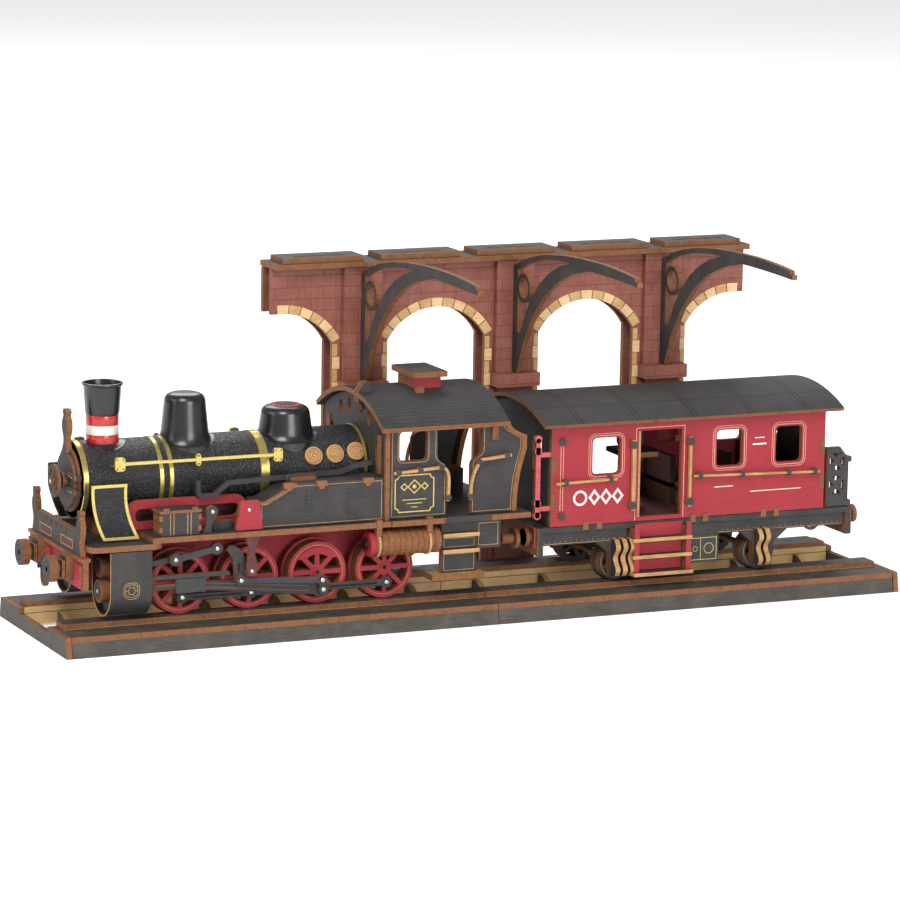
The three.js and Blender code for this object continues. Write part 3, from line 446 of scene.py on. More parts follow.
def sheetPaint(name, look, axis, grain="x", faceMask=None, extra=None, cutLook=None):
    # a whole sheet in one finish: printed where it faces along its own normal, scorched on its cut edges
    p = Paint(name)
    colour, rough, height = printed(p, look, grain)
    if extra:
        colour, height = extra(p, colour, height)
    edgeColour, edgeRough, edgeHeight = printed(p, cutLook, grain) if cutLook else scorched(p, axis)
    nx, ny, nz = [p.size(n) for n in p.axes("Normal")]
    mask = faceMask(p, nx, ny, nz) if faceMask else {"x": nx, "y": ny, "z": nz}[axis] > 0.8
    colour = p.mix(mask, edgeColour, colour)
    rough = p.blendNumber(mask, edgeRough, rough)
    height = p.blendNumber(mask, edgeHeight, height)
    return p.finish(colour, rough, height, 0.00014)


def plain(name, colour, rough, metal=0.0, coat=0.0, wear=0.12, scale=900.0):
    # smooth finish with slight unevenness in tone and gloss
    p = Paint(name)
    patch = p.noise(scale, 3.0, 0.6)
    fine = p.noise(scale * 6, 2.0, 0.5)
    r, g, b, a = linear(colour)
    dim = tuple(c * (1 - wear * 2) for c in (r, g, b)) + (a,)
    tone = p.mix(p.between(patch, 0.35, 0.7), dim, (r, g, b, a))
    return p.finish(tone, rough + patch * 0.12, patch * 0.6 + fine * 0.4, 0.00003, metal, coat)


def leather(name):
    # fine pebbled grain on black leather paper
    p = Paint(name)
    cells = p.node("TexVoronoi", {"feature": "DISTANCE_TO_EDGE"},
                   {"Vector": p.place((1300,) * 3), "Scale": 1.0})
    soft = p.noise(700.0, 3.0, 0.6)
    grain = p.between(cells, 0.02, 0.3)
    colour = p.mix(grain, linear("#0e0d10"), linear("#1b1a1e"))
    colour = p.mix(p.between(soft, 0.5, 0.8) * 0.35, colour, linear("#3a363a"))
    return p.finish(colour, 0.27 + soft * 0.18, grain * 0.8 + soft * 0.5, 0.0004)


def brickwork(p, colour, height):
    # courses of blocks with dark joints on the wall's face, each block a little different in tone
    x, y, z = p.axes()
    flat = p.node("CombineXYZ", {}, {0: x + y, 1: z, 2: 0.0})
    wobble = p.noise(420.0, 2.0, 0.5)
    sides = {"Vector": flat, "Scale": 1.0, "Mortar Size": 0.00022, "Mortar Smooth": 0.3,
             "Brick Width": 0.0115,
             "Row Height": 0.0052, "Color1": (0.2, 0.2, 0.2, 1), "Color2": (0.8, 0.8, 0.8, 1),
             "Mortar": (0, 0, 0, 1)}
    bricks = p.node("TexBrick", {"offset": 0.5}, sides)
    joints = p.node("TexBrick", {"offset": 0.5}, sides, out=1)
    shade = p.node("RGBToBW", {}, {0: bricks})
    colour = p.mix(shade * 0.16, colour, linear("#bb8372"))
    colour = p.mix(p.between(wobble, 0.55, 0.75) * 0.35, colour, linear("#6a3431"))
    colour = p.mix(joints * 0.3, colour, linear("#5c2f28"))
    return colour, height - joints * 1.5


def planks(axis, pitch, depth=0.8):
    # straight saw-cut lines, a pitch apart along one axis
    def cut(p, colour, height):
        along = dict(zip("xyz", p.axes()))[axis]
        groove = p.between(p.fold(along, pitch), 0.38, 0.46)
        return p.mix(groove * depth, colour, linear("#161516")), height - groove * 2.0
    return cut


def seams(p, colour, height):
    # one seam along each slope of the roof and pairs of seams across it
    x, y, _ = p.axes()
    across = p.size(p.fold(x - 0.0135, 0.0275) - 0.465) < 0.011
    along = p.size(p.size(y - trackMiddle) - 0.0215) < 0.0003
    groove = p.node("Math", {"operation": "MAXIMUM"}, {0: across, 1: along})
    return p.mix(groove, colour, linear("#100d0c")), height - groove * 2.0


def ladderMask(p, nx, ny, nz):
    # 1 where a wall faces along X
    return nx > 0.8


def boxMask(p, nx, ny, nz):
    # 1 everywhere but where a wall faces along X
    return nx < 0.8


def ballastPaint(name):
    # printed on top and on the slopes, pale wood on the inner walls under the decks, scorched on the rest
    p = Paint(name)
    colour, rough, height = printed(p, "ballast")
    nx, ny, nz = [p.size(n) for n in p.axes("Normal")]
    _, y, z = p.axes()
    pale, paleRough, _ = printed(p, "bare")
    edgeColour, edgeRough, edgeHeight = scorched(p, "z")
    under = (ny > 0.95) * (z < 0.0088) * (p.size(y - trackMiddle) < 0.03)
    edgeColour = p.mix(under, edgeColour, pale)
    edgeRough = p.blendNumber(under, edgeRough, paleRough)
    mask = (nx < 0.5) * (nz > 0.12)
    return p.finish(p.mix(mask, edgeColour, colour), p.blendNumber(mask, edgeRough, rough),
                    p.blendNumber(mask, edgeHeight, height), 0.00014)


def cornerMask(p, nx, ny, nz):
    # 1 on every upright wall
    return (nx + ny) > 0.8


paints = {
    "grey": printPaint("grey_print", "grey"),
    "greyUp": printPaint("grey_print_upright", "grey", "z"),
    "roof": printPaint("roof_print", "roof"),
    "cabRoof": printPaint("roof_planks", "roof", "x", planks("y", 0.0021)),
    "red": printPaint("red_print", "red"),
    "pink": printPaint("pink_print", "pink"),
    "rod": printPaint("rod_print", "rod"),
    "cream": printPaint("cream_print", "cream"),
    "light": printPaint("light_wood", "light"),
    "wine": printPaint("dark_red_print", "wine"),
    "edgeX": edgePaint("burnt_edge_x", "x"),
    "edgeY": edgePaint("burnt_edge_y", "y"),
    "edgeZ": edgePaint("burnt_edge_z", "z"),
    "leather": leather("black_leather"),
    "black": plain("gloss_black", "#0f1216", 0.26, coat=0.3),
    "bandRed": plain("gloss_red", "#b81e14", 0.22, coat=0.5),
    "bandWhite": plain("gloss_white", "#dfdcd2", 0.25, coat=0.4),
    "gold": plain("gold_foil", "#cdb968", 0.24, metal=0.8, coat=0.1),
    "steel": plain("pin_steel", "#c9c5ba", 0.22, metal=1.0, scale=2500.0),
    "cream2": printPaint("cream_print_deep", "cream2"),
    "coachRoof": printPaint("roof_seams", "roof", "x", seams),
    "pinkLine": plain("pale_pink_line", "#e3a58c", 0.55),
    # white print for the coach's ornaments; also painted light behind the front plate's holes
    "whiteLine": plain("white_line", "#e9e2da", 0.5),
    "dark": plain("dark_recess", "#101011", 0.8),
    "redSheetY": sheetPaint("red_sheet_y", "red", "y"),
    "greyBox": sheetPaint("grey_box", "grey", "x", "x", boxMask),
    "greySheetX": sheetPaint("grey_sheet_x", "grey", "x", "z"),
    "greySheetY": sheetPaint("grey_sheet_y", "grey", "y"),
    "greySheetZ": sheetPaint("grey_sheet_z", "grey", "z"),
    "rodSheetY": sheetPaint("rod_sheet_y", "rod", "y"),
    "wallSheet": sheetPaint("wall_sheet", "stone", "y", "z", None, brickwork),
    "pierSheet": sheetPaint("pier_sheet", "stone", "y", "z", cornerMask, brickwork),
    "ladderSheet": sheetPaint("sleeper_sheet", "ballast", "z", "y", ladderMask, None, "bare"),
    "plateSheet": sheetPaint("end_plate_sheet", "ballast", "x", "y"),
    "ballastSheet": ballastPaint("ballast_sheet"),
    "corniceSheet": sheetPaint("cornice_sheet", "roof", "z"),
}
print("finishes made")


# CAD nodes that keep their shape and get a better finish
def dress(finish, *nodes):
    for name in nodes:
        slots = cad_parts[name].data.materials
        slots.clear()
        slots.append(paints[finish])


dress("ballastSheet", *[f"ballast_{s}_{h}" for s in ("near", "far") for h in ("front", "rear")])
dress("ladderSheet", "sleeper_ladder_front", "sleeper_ladder_rear")
dress("plateSheet", "end_plate_front", "end_plate_rear")
dress("wallSheet", "arcade_front_wall", "arcade_back_wall")
dress("pierSheet", "arcade_pier_1", "arcade_pier_2", "arcade_pier_3")
dress("corniceSheet", "arcade_cornice")
dress("greySheetX", "gallows_bracket_1", "gallows_bracket_2", "gallows_bracket_3", "cab_front_wall",
      "coach_end_front", "coach_end_rear", "front_ring_link")
dress("greySheetY", "cab_side_near", "cab_side_far")
dress("greyBox", "side_tank_near", "side_tank_far", "coach_underframe")
dress("greySheetZ", "running_board", "cab_floor", "cab_ventilator")
dress("redSheetY", "chassis_frame", "coach_side_near", "coach_side_far")
dress("rodSheetY", *[f"{n}_{s}" for s in ("near", "far") for n in ("crosshead", "expansion_link")])


# boiler, chimney, domes and smokebox
boilerSizes = {"radius": 16.0, "z": 66.4, "front": -178.0, "rear": -50.2, "bands": (-143.4, -139.0),
               "wide": -97.0,
               "bandWidth": 1.9, "rise": 0.22}


def hoop(piece, x0, x1, r, rise, paint):
    # band round the boiler with softened edges
    z = boilerSizes["z"]
    profile = [(0, x0), (r, x0), (r + rise, x0 + 0.15), (r + rise, x1 - 0.15), (r, x1), (0, x1)]
    piece.lathe("x", (0, z), profile, paint, 96)


def makeBoiler():
    # one turned barrel with five gold bands and three places for washout discs
    b = boilerSizes
    r, z = b["radius"], b["z"]
    skin = Piece("boiler_skin")
    skin.lathe("x", (0, z), [(0, b["front"]), (r, b["front"]), (r, b["rear"]), (0, b["rear"])], "leather",
               96)
    for x in b["bands"]:
        hoop(skin, x - b["bandWidth"] / 2, x + b["bandWidth"] / 2, r, b["rise"], "gold")
    hoop(skin, b["wide"] - 2, b["wide"] + 2, r, b["rise"], "gold")
    hoop(skin, b["front"], b["front"] + 2.3, r + 0.3, 0.3, "gold")
    hoop(skin, b["rear"] - 1.6, b["rear"] - 0.2, r + 0.1, 0.25, "gold")
    for x, zDisc in ((-75, 72.6), (-65.2, 72.9), (-55.6, 73.4)):
        drawWashout(skin, x, zDisc)
    skin.build("locomotive", ["boiler"])


def drawWashout(piece, x, z):
    # light wooden disc with turned rings, tilted to lie against the boiler's side
    y = -math.sqrt(boilerSizes["radius"] ** 2 - (z - boilerSizes["z"]) ** 2)
    lean = math.atan2(z - boilerSizes["z"], -y)
    start = len(piece.verts)
    piece.lathe("y", (0, 0), [(0, 0.5), (3.9, 0.5), (3.9, -1.2), (3.5, -1.4), (0, -1.4)], "light", 32)
    for r in (0.9, 2.0, 3.0):
        hole = [circle(0, 0, r - 0.13, 32)]
        piece.sheet("y", circle(0, 0, r + 0.13, 32), -1.38, -1.5, "edgeY", holes=hole)
    turn = np.array(Matrix.Rotation(-lean, 3, "X"))
    for i in range(start, len(piece.verts)):
        piece.verts[i] = piece.verts[i] @ turn.T + [x, y, z]


def onBoiler(piece, mark):
    # lets the foot of a turned fitting down to the boiler's curve
    r, z = boilerSizes["radius"] + 0.05, boilerSizes["z"]
    for i in range(mark, len(piece.verts)):
        v = piece.verts[i]
        top = z + np.sqrt(np.maximum(r**2 - v[:, 1] ** 2, 0))
        low = v[:, 2] < top
        v[low, 2] = top[low]


def makeChimney():
    # turned foot, three bands of one radius, and a flared cup with a hollow mouth
    x, r = -164.3, 6.9
    stack = Piece("chimney_stack")
    stack.lathe("z", (x, 0), [(0, 78), (9.6, 78), (9.6, 79.2), (8.8, 80.1), (7.6, 80.9), (7.0, 81.6),
                              (0, 81.6)], "black", 48)
    onBoiler(stack, 0)
    bands = ((81.6, 85.3, "bandRed"), (85.3, 89.2, "bandWhite"), (89.2, 93.4, "bandRed"))
    for z0, z1, paint in bands:
        stack.lathe("z", (x, 0), [(0, z0), (r, z0), (r + 0.06, z0 + 0.2), (r + 0.06, z1 - 0.2), (r, z1),
                                  (0, z1)], paint, 48)
    cup = [(0, 93.4), (6.9, 93.4), (7.1, 93.9), (7.25, 94.6), (8.0, 105.2), (8.1, 105.6), (8.6, 106.0),
           (8.7, 106.5),
           (8.55, 106.9), (8.1, 107.0), (7.7, 106.8), (6.0, 95.6), (0, 95.4)]
    stack.lathe("z", (x, 0), cup, "black", 48)
    stack.build("locomotive", ["chimney"])


def makeDome(name, x, profile):
    # turned profile on the boiler; the rear dome has a red ring on its crown
    dome = Piece(name + "_cover")
    dome.lathe("z", (x, 0), profile, "black", 56)
    onBoiler(dome, 0)
    if name == "rear_dome":
        dome.sheet("z", circle(x, 0, 6.6, 40), 92.9, 93.18, "bandRed", holes=[circle(x, 0, 5.0, 36)])
    dome.build("locomotive", [name])


def domeProfile(foot, side, shoulder, top, z0):
    # flared foot, straight side, round shoulder and a nearly flat crown
    rise = top - z0
    flare = bezier((foot, z0 + 0.5), (side + 1.2, z0 + 1.4), (side + 0.3, z0 + 0.2 * rise),
                   (side, z0 + 0.36 * rise), 8)
    corner = bezier((shoulder, top - 4.6), (shoulder - 0.2, top - 1.6), (shoulder - 1.6, top - 0.5),
                    (shoulder - 4.6, top - 0.2), 10)
    return [(0, z0 - 5), (foot, z0 - 5), *map(tuple, flare), *map(tuple, corner), (0, top)]


def makeSmokebox():
    # door in layers with two hinge straps, and a pierced handwheel on its hub
    z, back = boilerSizes["z"], -178.3
    door = Piece("smokebox_door_leaf")
    door.drum("x", (0, z), 13.5, back, back - 1.2, "grey", "edgeX", 64)
    door.drum("x", (0, z), 11.6, back - 1.2, back - 2.4, "grey", "edgeX", 64)
    for dz in (-3.2, 3.2):
        strap = trail((-14.6, z + dz - 1.1), arc(-3.6, z + dz, 1.1, -90, 90, 8), (-14.6, z + dz + 1.1))
        door.sheet("x", strap, back - 2.4, back - 3.5, "grey", "edgeX")
        for y in (-11.6, -8.6, -5.6):
            door.stud("x", (y, z + dz), 0.42, back - 3.5, -0.3, "steel")
        door.lathe("z", (back - 1.2, -14.6), [(0, z + dz - 1.3), (1.1, z + dz - 1.3), (1.1, z + dz + 1.3),
                                              (0, z + dz + 1.3)], "grey", 16)
    door.drum("x", (0, z), 3.4, back - 2.4, back - 4.4, "grey", "edgeX")
    door.drum("x", (0, z), 1.7, back - 4.4, -186.1, "edgeX")
    slots = [slotPoints(z, k * 90 + 45) for k in range(4)]
    door.sheet("x", circle(0, z, 7.0, 56), -184.9, -186.0, "grey", "edgeX", holes=slots)
    door.drum("x", (0, z), 2.2, -186.0, -186.9, "grey", "edgeX")
    door.stud("x", (0, z), 1.0, -186.9, -0.5, "steel")
    door.build("smokebox_door", ["smokebox_door"])


def slotPoints(z, angle):
    # curved slot of the handwheel, between two radii
    spanOut, spanIn = 34, 28
    return trail(arc(0, z, 5.6, angle - spanOut, angle + spanOut, 8),
                 arc(0, z, 3.5, angle + spanIn, angle - spanIn, 6))


def postPoints(y, z0, z1, scale=1.0):
    # outline of a turned-looking lamp post, the same on both sides of its middle
    waist = [(2.2, 0.0), (2.2, 0.12), (1.3, 0.2), (1.2, 0.34), (2.3, 0.46), (2.9, 0.58), (2.8, 0.7),
             (1.7, 0.8), (1.2, 0.86), (1.9, 0.93), (1.5, 1.0)]
    right = np.array([(y + w * scale, z0 + (z1 - z0) * t) for w, t in waist])
    left = np.array([(y - w * scale, z0 + (z1 - z0) * t) for w, t in waist[::-1]])
    return trail(right, left)


frontSizes = {"x": -184.6, "half": 34.2, "z0": 26.0, "z1": 38.0, "plateTop": 49.6, "bufferY": 18.0,
              "bufferZ": 33.0}


def makeFront():
    # beam, front plate, buffers, posts, hook and lamp iron; x falls towards the front
    f = frontSizes
    x0, x1 = f["x"], f["x"] + sheet
    beam = Piece("front_beam")
    beam.sheet("x", rect(-f["half"], f["half"], f["z0"], f["z1"]), x0, x1, "red", "edgeX")
    beam.block(x0 - 0.7, x1 + 0.8, -f["half"] - 0.4, f["half"] + 0.4, f["z1"], f["z1"] + 1.5, "edgeX")
    plate = trail((-30, f["z1"] + 1.5), (30, f["z1"] + 1.5), (30, 42), (24.6, f["plateTop"]),
                  (-24.6, f["plateTop"]), (-30, 42))
    holes = [circle(i * 6.4, 47.6, 1.15, 20) for i in range(-2, 3)]
    # white discs just behind the plate's five holes: painted light, the bright backdrop painted where the
    # dark parts behind would show
    for i in range(-2, 3):
        beam.drum("x", (i * 6.4, 47.6), 1.3, x1, x1 + 0.3, "whiteLine", "whiteLine", 16)
    beam.sheet("x", plate, x0, x1, "grey", "edgeX", holes=holes)
    for y in (-13.5, 13.5):
        beam.line("x", rect(y - 7.4, y + 7.4, 41.4, 44.8), 0.35, x0, -0.06, "light", closed=True)
        beam.sheet("x", rect(y - 6.6, y + 6.6, 42.0, 44.2), x0, x0 - 0.05, "wine")
    for side in (near, far):
        y = side * f["bufferY"]
        z = f["bufferZ"]
        beam.block(x0 - 3.6, x0, y - 5.2, y + 5.2, z - 4.4, z + 5.6, "grey", "edgeX", "x")
        beam.block(x0 - 5.0, x0 - 3.6, y - 4.0, y + 4.0, z - 3.6, z + 3.6, "grey", "edgeX", "x")
        beam.drum("x", (y, z), 2.4, x0 - 8.0, x0 - 5.0, "edgeX")
        beam.drum("x", (y, z), 5.6, -195.0, -191.4, "grey", "edgeX", 40)
        beam.line("x", circle(y, z, 3.3, 32), 0.25, -195.0, 0.02, "light", closed=True)
        beam.drum("x", (y, z), 1.2, -194.9, -195.0, "edgeX")
        beam.sheet("x", rect(side * 29.6 - 3.4, side * 29.6 + 3.4, 27.4, 36.4), x0, x0 - 1.2, "red", "edgeX")
        beam.sheet("x", rect(side * 7.6 - 3.0, side * 7.6 + 3.0, 27.4, 36.4), x0, x0 - 1.2, "red", "edgeX")
        beam.sheet("x", postPoints(side * 28.4, f["z1"] + 1.4, 58.6), x0 - 0.1, x0 - 0.1 + sheet, "grey",
                   "edgeX")
    hook = trail(arc(x0 - 3.0, 31.6, 2.6, 90, -150, 12), arc(x0 - 3.0, 31.6, 1.3, -150, 90, 10))
    beam.block(-192.0, x0, -0.7, 0.7, 29.8, 30.8, "rod", "rod")
    beam.block(-192.8, -191.8, -0.7, 0.7, 29.8, 32.4, "rod", "rod")
    beam.sheet("y", hook, -1.2, 1.2, "rod", "edgeY")
    sHook = bezier((-187.0, -9.4), (-195.0, -9.0), (-185.0, -2.2), (-191.6, -1.4), 14)
    path = [(x, y, 34.0 - 2.6 * math.sin(i / 14 * math.pi)) for i, (x, y) in enumerate(sHook)]
    beam.tube(path, 1.1, "black")
    beam.build("locomotive", ["buffer_beam"])
    lamp = Piece("lamp_iron")
    lamp.sheet("x", postPoints(0, 78.2, 96.4, 1.15), -181.0, -178.5, "grey", "edgeX")
    lamp.build("locomotive")


# running board and what stands on it
def makeFittings():
    for side in (near, far):
        name = sideNames[side]
        y = side * 28.0
        fit = Piece(f"board_fittings_{name}")
        # gold-edged smokebox side plate, hollow towards the rear
        plate = trail((-173.4, 45.2), (-158.2, 45.2),
                      bezier((-158.2, 45.2), (-162.4, 53), (-164.4, 60), (-163.6, 68.6), 10)[1:],
                      (-178.6, 68.6),
                      bezier((-178.6, 68.6), (-179.0, 60), (-177, 52), (-173.4, 45.2), 10)[1:-1])
        fit.sheet("y", plate, y, y - side * 1.0, "leather", "edgeY")
        inner = plate + (plate.mean(axis=0) - plate) * 0.045
        fit.line("y", inner, 1.25, y, side * 0.12, "gold", closed=True)
        # red frame with round ends, tool box and reversing levers
        fit.sheet("y", roundRect(-160.2, -106.8, 47.0, 59.4, 5.0), side * 17.0, side * 19.4, "red", "edgeY",
                  holes=[roundRect(-156.6, -110.4, 50.2, 55.8, 2.6)])
        fit.block(-156, -107, side * 12, side * 12.6, 47, 58, "wine")
        toolBox(fit, side)
        lever(fit, side)
        hanger(fit, side)
        fit.build("locomotive")
        handrail(side, name)
        if side == near:
            makePipe()


def toolBox(fit, side):
    # box of tabbed boards with two scored straps
    outer, inner = side * 34.2, side * 25.0
    fit.block(-150.6, -133.4, inner, outer, 46.7, 56.2, "grey", "edgeY")
    fit.block(-151.2, -132.8, side * 24.4, side * 34.8, 56.2, 57.4, "grey", "edgeZ", "z")
    for x in (-146.4, -144.9, -138.8, -137.3):
        fit.line("y", [(x, 46.9), (x, 56.1)], 0.28, outer, side * 0.08, "light")
    for x in (-150.6, -133.4):
        for z in (48.2, 53.0):
            fit.block(x - 0.7, x + 0.7, inner + side * 2, outer + side * 0.15, z, z + 2.2, "edgeY")
    for x in (-148.4, -135.6):
        fit.block(x - 1.3, x + 1.3, outer - side * 1, outer + side * 0.4, 57.3, 58.4, "edgeZ", "grey")


def lever(fit, side):
    # waisted lever with a round head and a pin, and a short bar beside it
    y0, y1 = side * 31.2, side * 33.4
    shape = trail((-131.4, 46.7), (-127.6, 46.7),
                  bezier((-127.6, 46.7), (-128.8, 50), (-126.2, 52), (-125.4, 54.4), 6)[1:],
                  arc(-127.4, 55.6, 2.4, -20, 150, 9),
                  bezier((-129.6, 56.6), (-130.8, 53), (-129.4, 50), (-131.4, 46.7), 6)[1:-1])
    fit.sheet("y", shape, y0, y1, "grey", "edgeY")
    fit.stud("y", (-127.4, 55.6), 0.85, y1, side * 0.4, "steel")
    fit.block(-125.4, -117.0, side * 26, side * 28.4, 46.7, 50.4, "grey", "edgeY")


def hanger(fit, side):
    # red shield over a red arm that carries the expansion link
    y0, y1 = side * 32.2, side * 34.6
    shield = trail((-117.4, 47.0), (-105.4, 47.0), (-107.2, 59.2), (-115.2, 59.2))
    fit.sheet("y", shield, y0, y1, "red", "edgeY")
    fit.stud("y", (-111.6, 55.6), 0.8, y1, side * 0.4, "steel")
    arm = trail((-112.4, 27.4), (-108.8, 27.4), (-108.0, 32), (-109.4, 37), (-107.6, 44.0), (-113.2, 44.0),
                (-111.8, 38), (-113.0, 32))
    fit.sheet("y", arm, side * 34.5, side * 35.9, "wine", "edgeY")
    fit.stud("y", (-110.6, 29.6), 0.85, side * 35.9, side * 0.4, "steel")


def handrail(side, name):
    # gilt rail on three plates, each with four rivets, along the boiler
    rail = Piece(f"handrail_{name}")
    y0, y1 = side * 24.6, side * 26.2
    rail.block(-166.0, -94.0, y0 + side * 0.3, y1 - side * 0.3, 75.9, 77.1, "gold")
    plates = ((-165.6, 2.2, 2.9), (-131.0, 1.1, 2.6), (-95.4, 2.0, 2.8))
    for x, wide, high in plates:
        rail.sheet("y", roundRect(x - wide, x + wide, 76.5 - high, 76.5 + high, 1.2), y0, y1, "gold")
        for dz in (-high + 0.9, high - 0.9):
            for dx in (-wide + 0.8, wide - 0.8):
                rail.stud("y", (x + dx, 76.5 + dz), 0.38, y1, side * 0.16, "edgeY")
        rail.tube([(x, y0, 76.5), (x, side * 18, 74.4), (x, side * 12.5, 73.4)], 0.6, "gold")
    rail.build("locomotive")


def makePipe():
    # flat steam pipe that steps up along the boiler, with its stacked clamp
    path = [(-129.8, 66.8), (-129.6, 61.4), (-128.2, 60.2), (-122.6, 60.2), (-116.4, 64.9), (-83.4, 66.2),
            (-66.0, 66.4), (-58.0, 68.9), (-50.4, 69.8)]
    pipe = Piece("steam_pipe")
    pipe.line("y", path, 1.9, -20.4, -2.2, "grey")
    for lift, high in ((0, 4.8), (1.2, 3.6), (2.4, 2.2)):
        clamp = roundRect(-90.4 + lift, -76.6 - lift, 64.4 - high / 2 + 0.6, 64.4 + high / 2, 0.9)
        pipe.sheet("y", clamp, -22.6 - lift, -24.0 - lift, "grey" if lift == 0 else "edgeZ", "edgeY")
    pipe.build("locomotive")


def makeTankTrim():
    # outline, studs and clips on the face of each side tank
    for side in (near, far):
        y = side * 33.0
        trim = Piece(f"tank_trim_{sideNames[side]}")
        outline = trail((-105.4, 47.6), (-51.0, 47.6), (-51.0, 63.9), (-89.9, 63.9), (-103.2, 57.0),
                        (-105.4, 57.0))
        trim.line("y", outline, 0.22, y, side * 0.05, "light", closed=True)
        trim.line("y", [(-89.6, 64.9), (-103.8, 57.6), (-106.6, 57.6), (-106.6, 46.9)], 0.9, y + side * 0.1,
                  -side * 1.2, "edgeY")
        for x in (-85.4, -66.4):
            for z in np.arange(49.2, 61.5, 1.75):
                trim.stud("y", (x, z), 0.3, y, side * 0.14, "dark", 8)
        for x in (-93.4, -78.6, -57.4):
            trim.block(x - 2.4, x + 2.4, y - side * 0.6, y + side * 0.9, 63.4, 65.6, "edgeY")
            trim.block(x - 1.2, x + 1.2, y - side * 0.6, y + side * 0.9, 62.2, 63.4, "edgeY")
        trim.build("locomotive")


makeBoiler()
makeChimney()
makeDome("front_dome", -127.6, domeProfile(12.4, 9.9, 8.9, 101.0, 78.6))
makeDome("rear_dome", -82.0, domeProfile(13.8, 11.4, 10.6, 93.2, 77.6))
makeSmokebox()
makeFront()
makeFittings()
makeTankTrim()
print("boiler and front made")


# cylinders, rods and wheels
def makeCylinders():
    for side in (near, far):
        y = side * 24.5
        jacket = Piece(f"cylinder_jacket_{sideNames[side]}")
        shell = trail((y - 11.5, 41.4), arc(y, 24.4, 11.5, 180, 360, 32), (y + 11.5, 41.4))
        inner = trail((y + 10.7, 41.4), arc(y, 24.4, 10.7, 360, 180, 32), (y - 10.7, 41.4))
        jacket.sheet("x", trail(shell, inner), -173.2, -155.0, "edgeX", "greyUp")
        core = trail((y - 10.6, 41.0), arc(y, 24.4, 10.6, 180, 360, 32), (y + 10.6, 41.0))
        jacket.sheet("x", core, -170.8, -168.8, "grey", "edgeX")
        jacket.sheet("x", core, -158.4, -156.0, "grey", "edgeX", holes=[circle(side * 31.2, 24.4, 1.7, 16)])
        edge = shell + (np.array([y, 24.4]) - shell) * 0.005
        jacket.line("x", edge, 0.5, -173.2, -0.12, "light")
        for z, r in ((23.4, 4.9), (33.6, 4.2)):
            jacket.drum("x", (y, z), r, -174.7, -170.8, "edgeX", "edgeX")
            jacket.drum("x", (y, z), r - 1.2, -174.9, -174.7, "grey", "edgeX")
        jacket.stud("x", (y, 23.4), 0.9, -174.9, -0.3, "steel")
        face = side * 36.0
        badge = roundRect(-167.4, -160.6, 21.6, 28.4, 2.4)
        for scale in (1.0, 0.78):
            jacket.line("y", (badge - [-164, 25]) * scale + [-164, 25], 0.2, face, side * 0.05, "light",
                        closed=True)
        jacket.line("y", circle(-164, 25, 1.5, 20), 0.2, face, side * 0.05, "light", closed=True)
        for a in range(0, 360, 60):
            spoke = [(-164 + r * math.cos(math.radians(a)),
                      25 + r * math.sin(math.radians(a))) for r in (1.5, 2.6)]
            jacket.line("y", spoke, 0.18, face, side * 0.05, "light")
        jacket.block(-156.0, -119.4, side * 30.1, side * 32.8, 28.0, 29.5, "rod", "edgeY")
        valve = side * 27.0
        jacket.sheet("y", rodOutline([(-155.6, 33.8), (-143.0, 35.6)], 2.2, 2.4), valve, valve + side * 2.2,
                     "rod", "edgeY")
        jacket.sheet("y", rodOutline([(-143.0, 35.8), (-124.6, 39.4)], 2.6, 2.6), valve + side * 2.8,
                     valve + side * 4.8, "rod", "edgeY")
        for a, b in ((-143.0, 35.8), (-124.6, 39.4)):
            jacket.stud("y", (a, b), 0.9, valve + side * 4.8, side * 0.35, "steel")
        jacket.build("locomotive", [f"cylinder_{sideNames[side]}"])


def rodOutline(places, height, boss):
    # straight rod with a round boss at either end
    (a0, b0), (a1, b1) = places
    tilt = math.degrees(math.atan2(b1 - b0, a1 - a0))
    open_ = math.degrees(math.asin(min(0.98, height / 2 / boss)))
    return trail(arc(a0, b0, boss, tilt + open_, tilt + 360 - open_, 18),
                 arc(a1, b1, boss, tilt + 180 + open_, tilt + 540 - open_, 18))


motion = {"crank": 6.1, "axleZ": 24.4, "axles": (-138.2, -107.3, -76.4, -45.5), "rod": (24.6, 26.6),
          "main": (27.2, 29.4),
          "eccentric": (32.2, 33.8), "crosshead": -135.3, "eccentricRun": 36.7, "linkPivot": (-114.9, 34),
          "linkRadius": 8.6}


def quarter(side, a, b):
    # the far side's cranks stand a quarter turn ahead of the near side's
    return (a, b) if side == near else (-b, a)


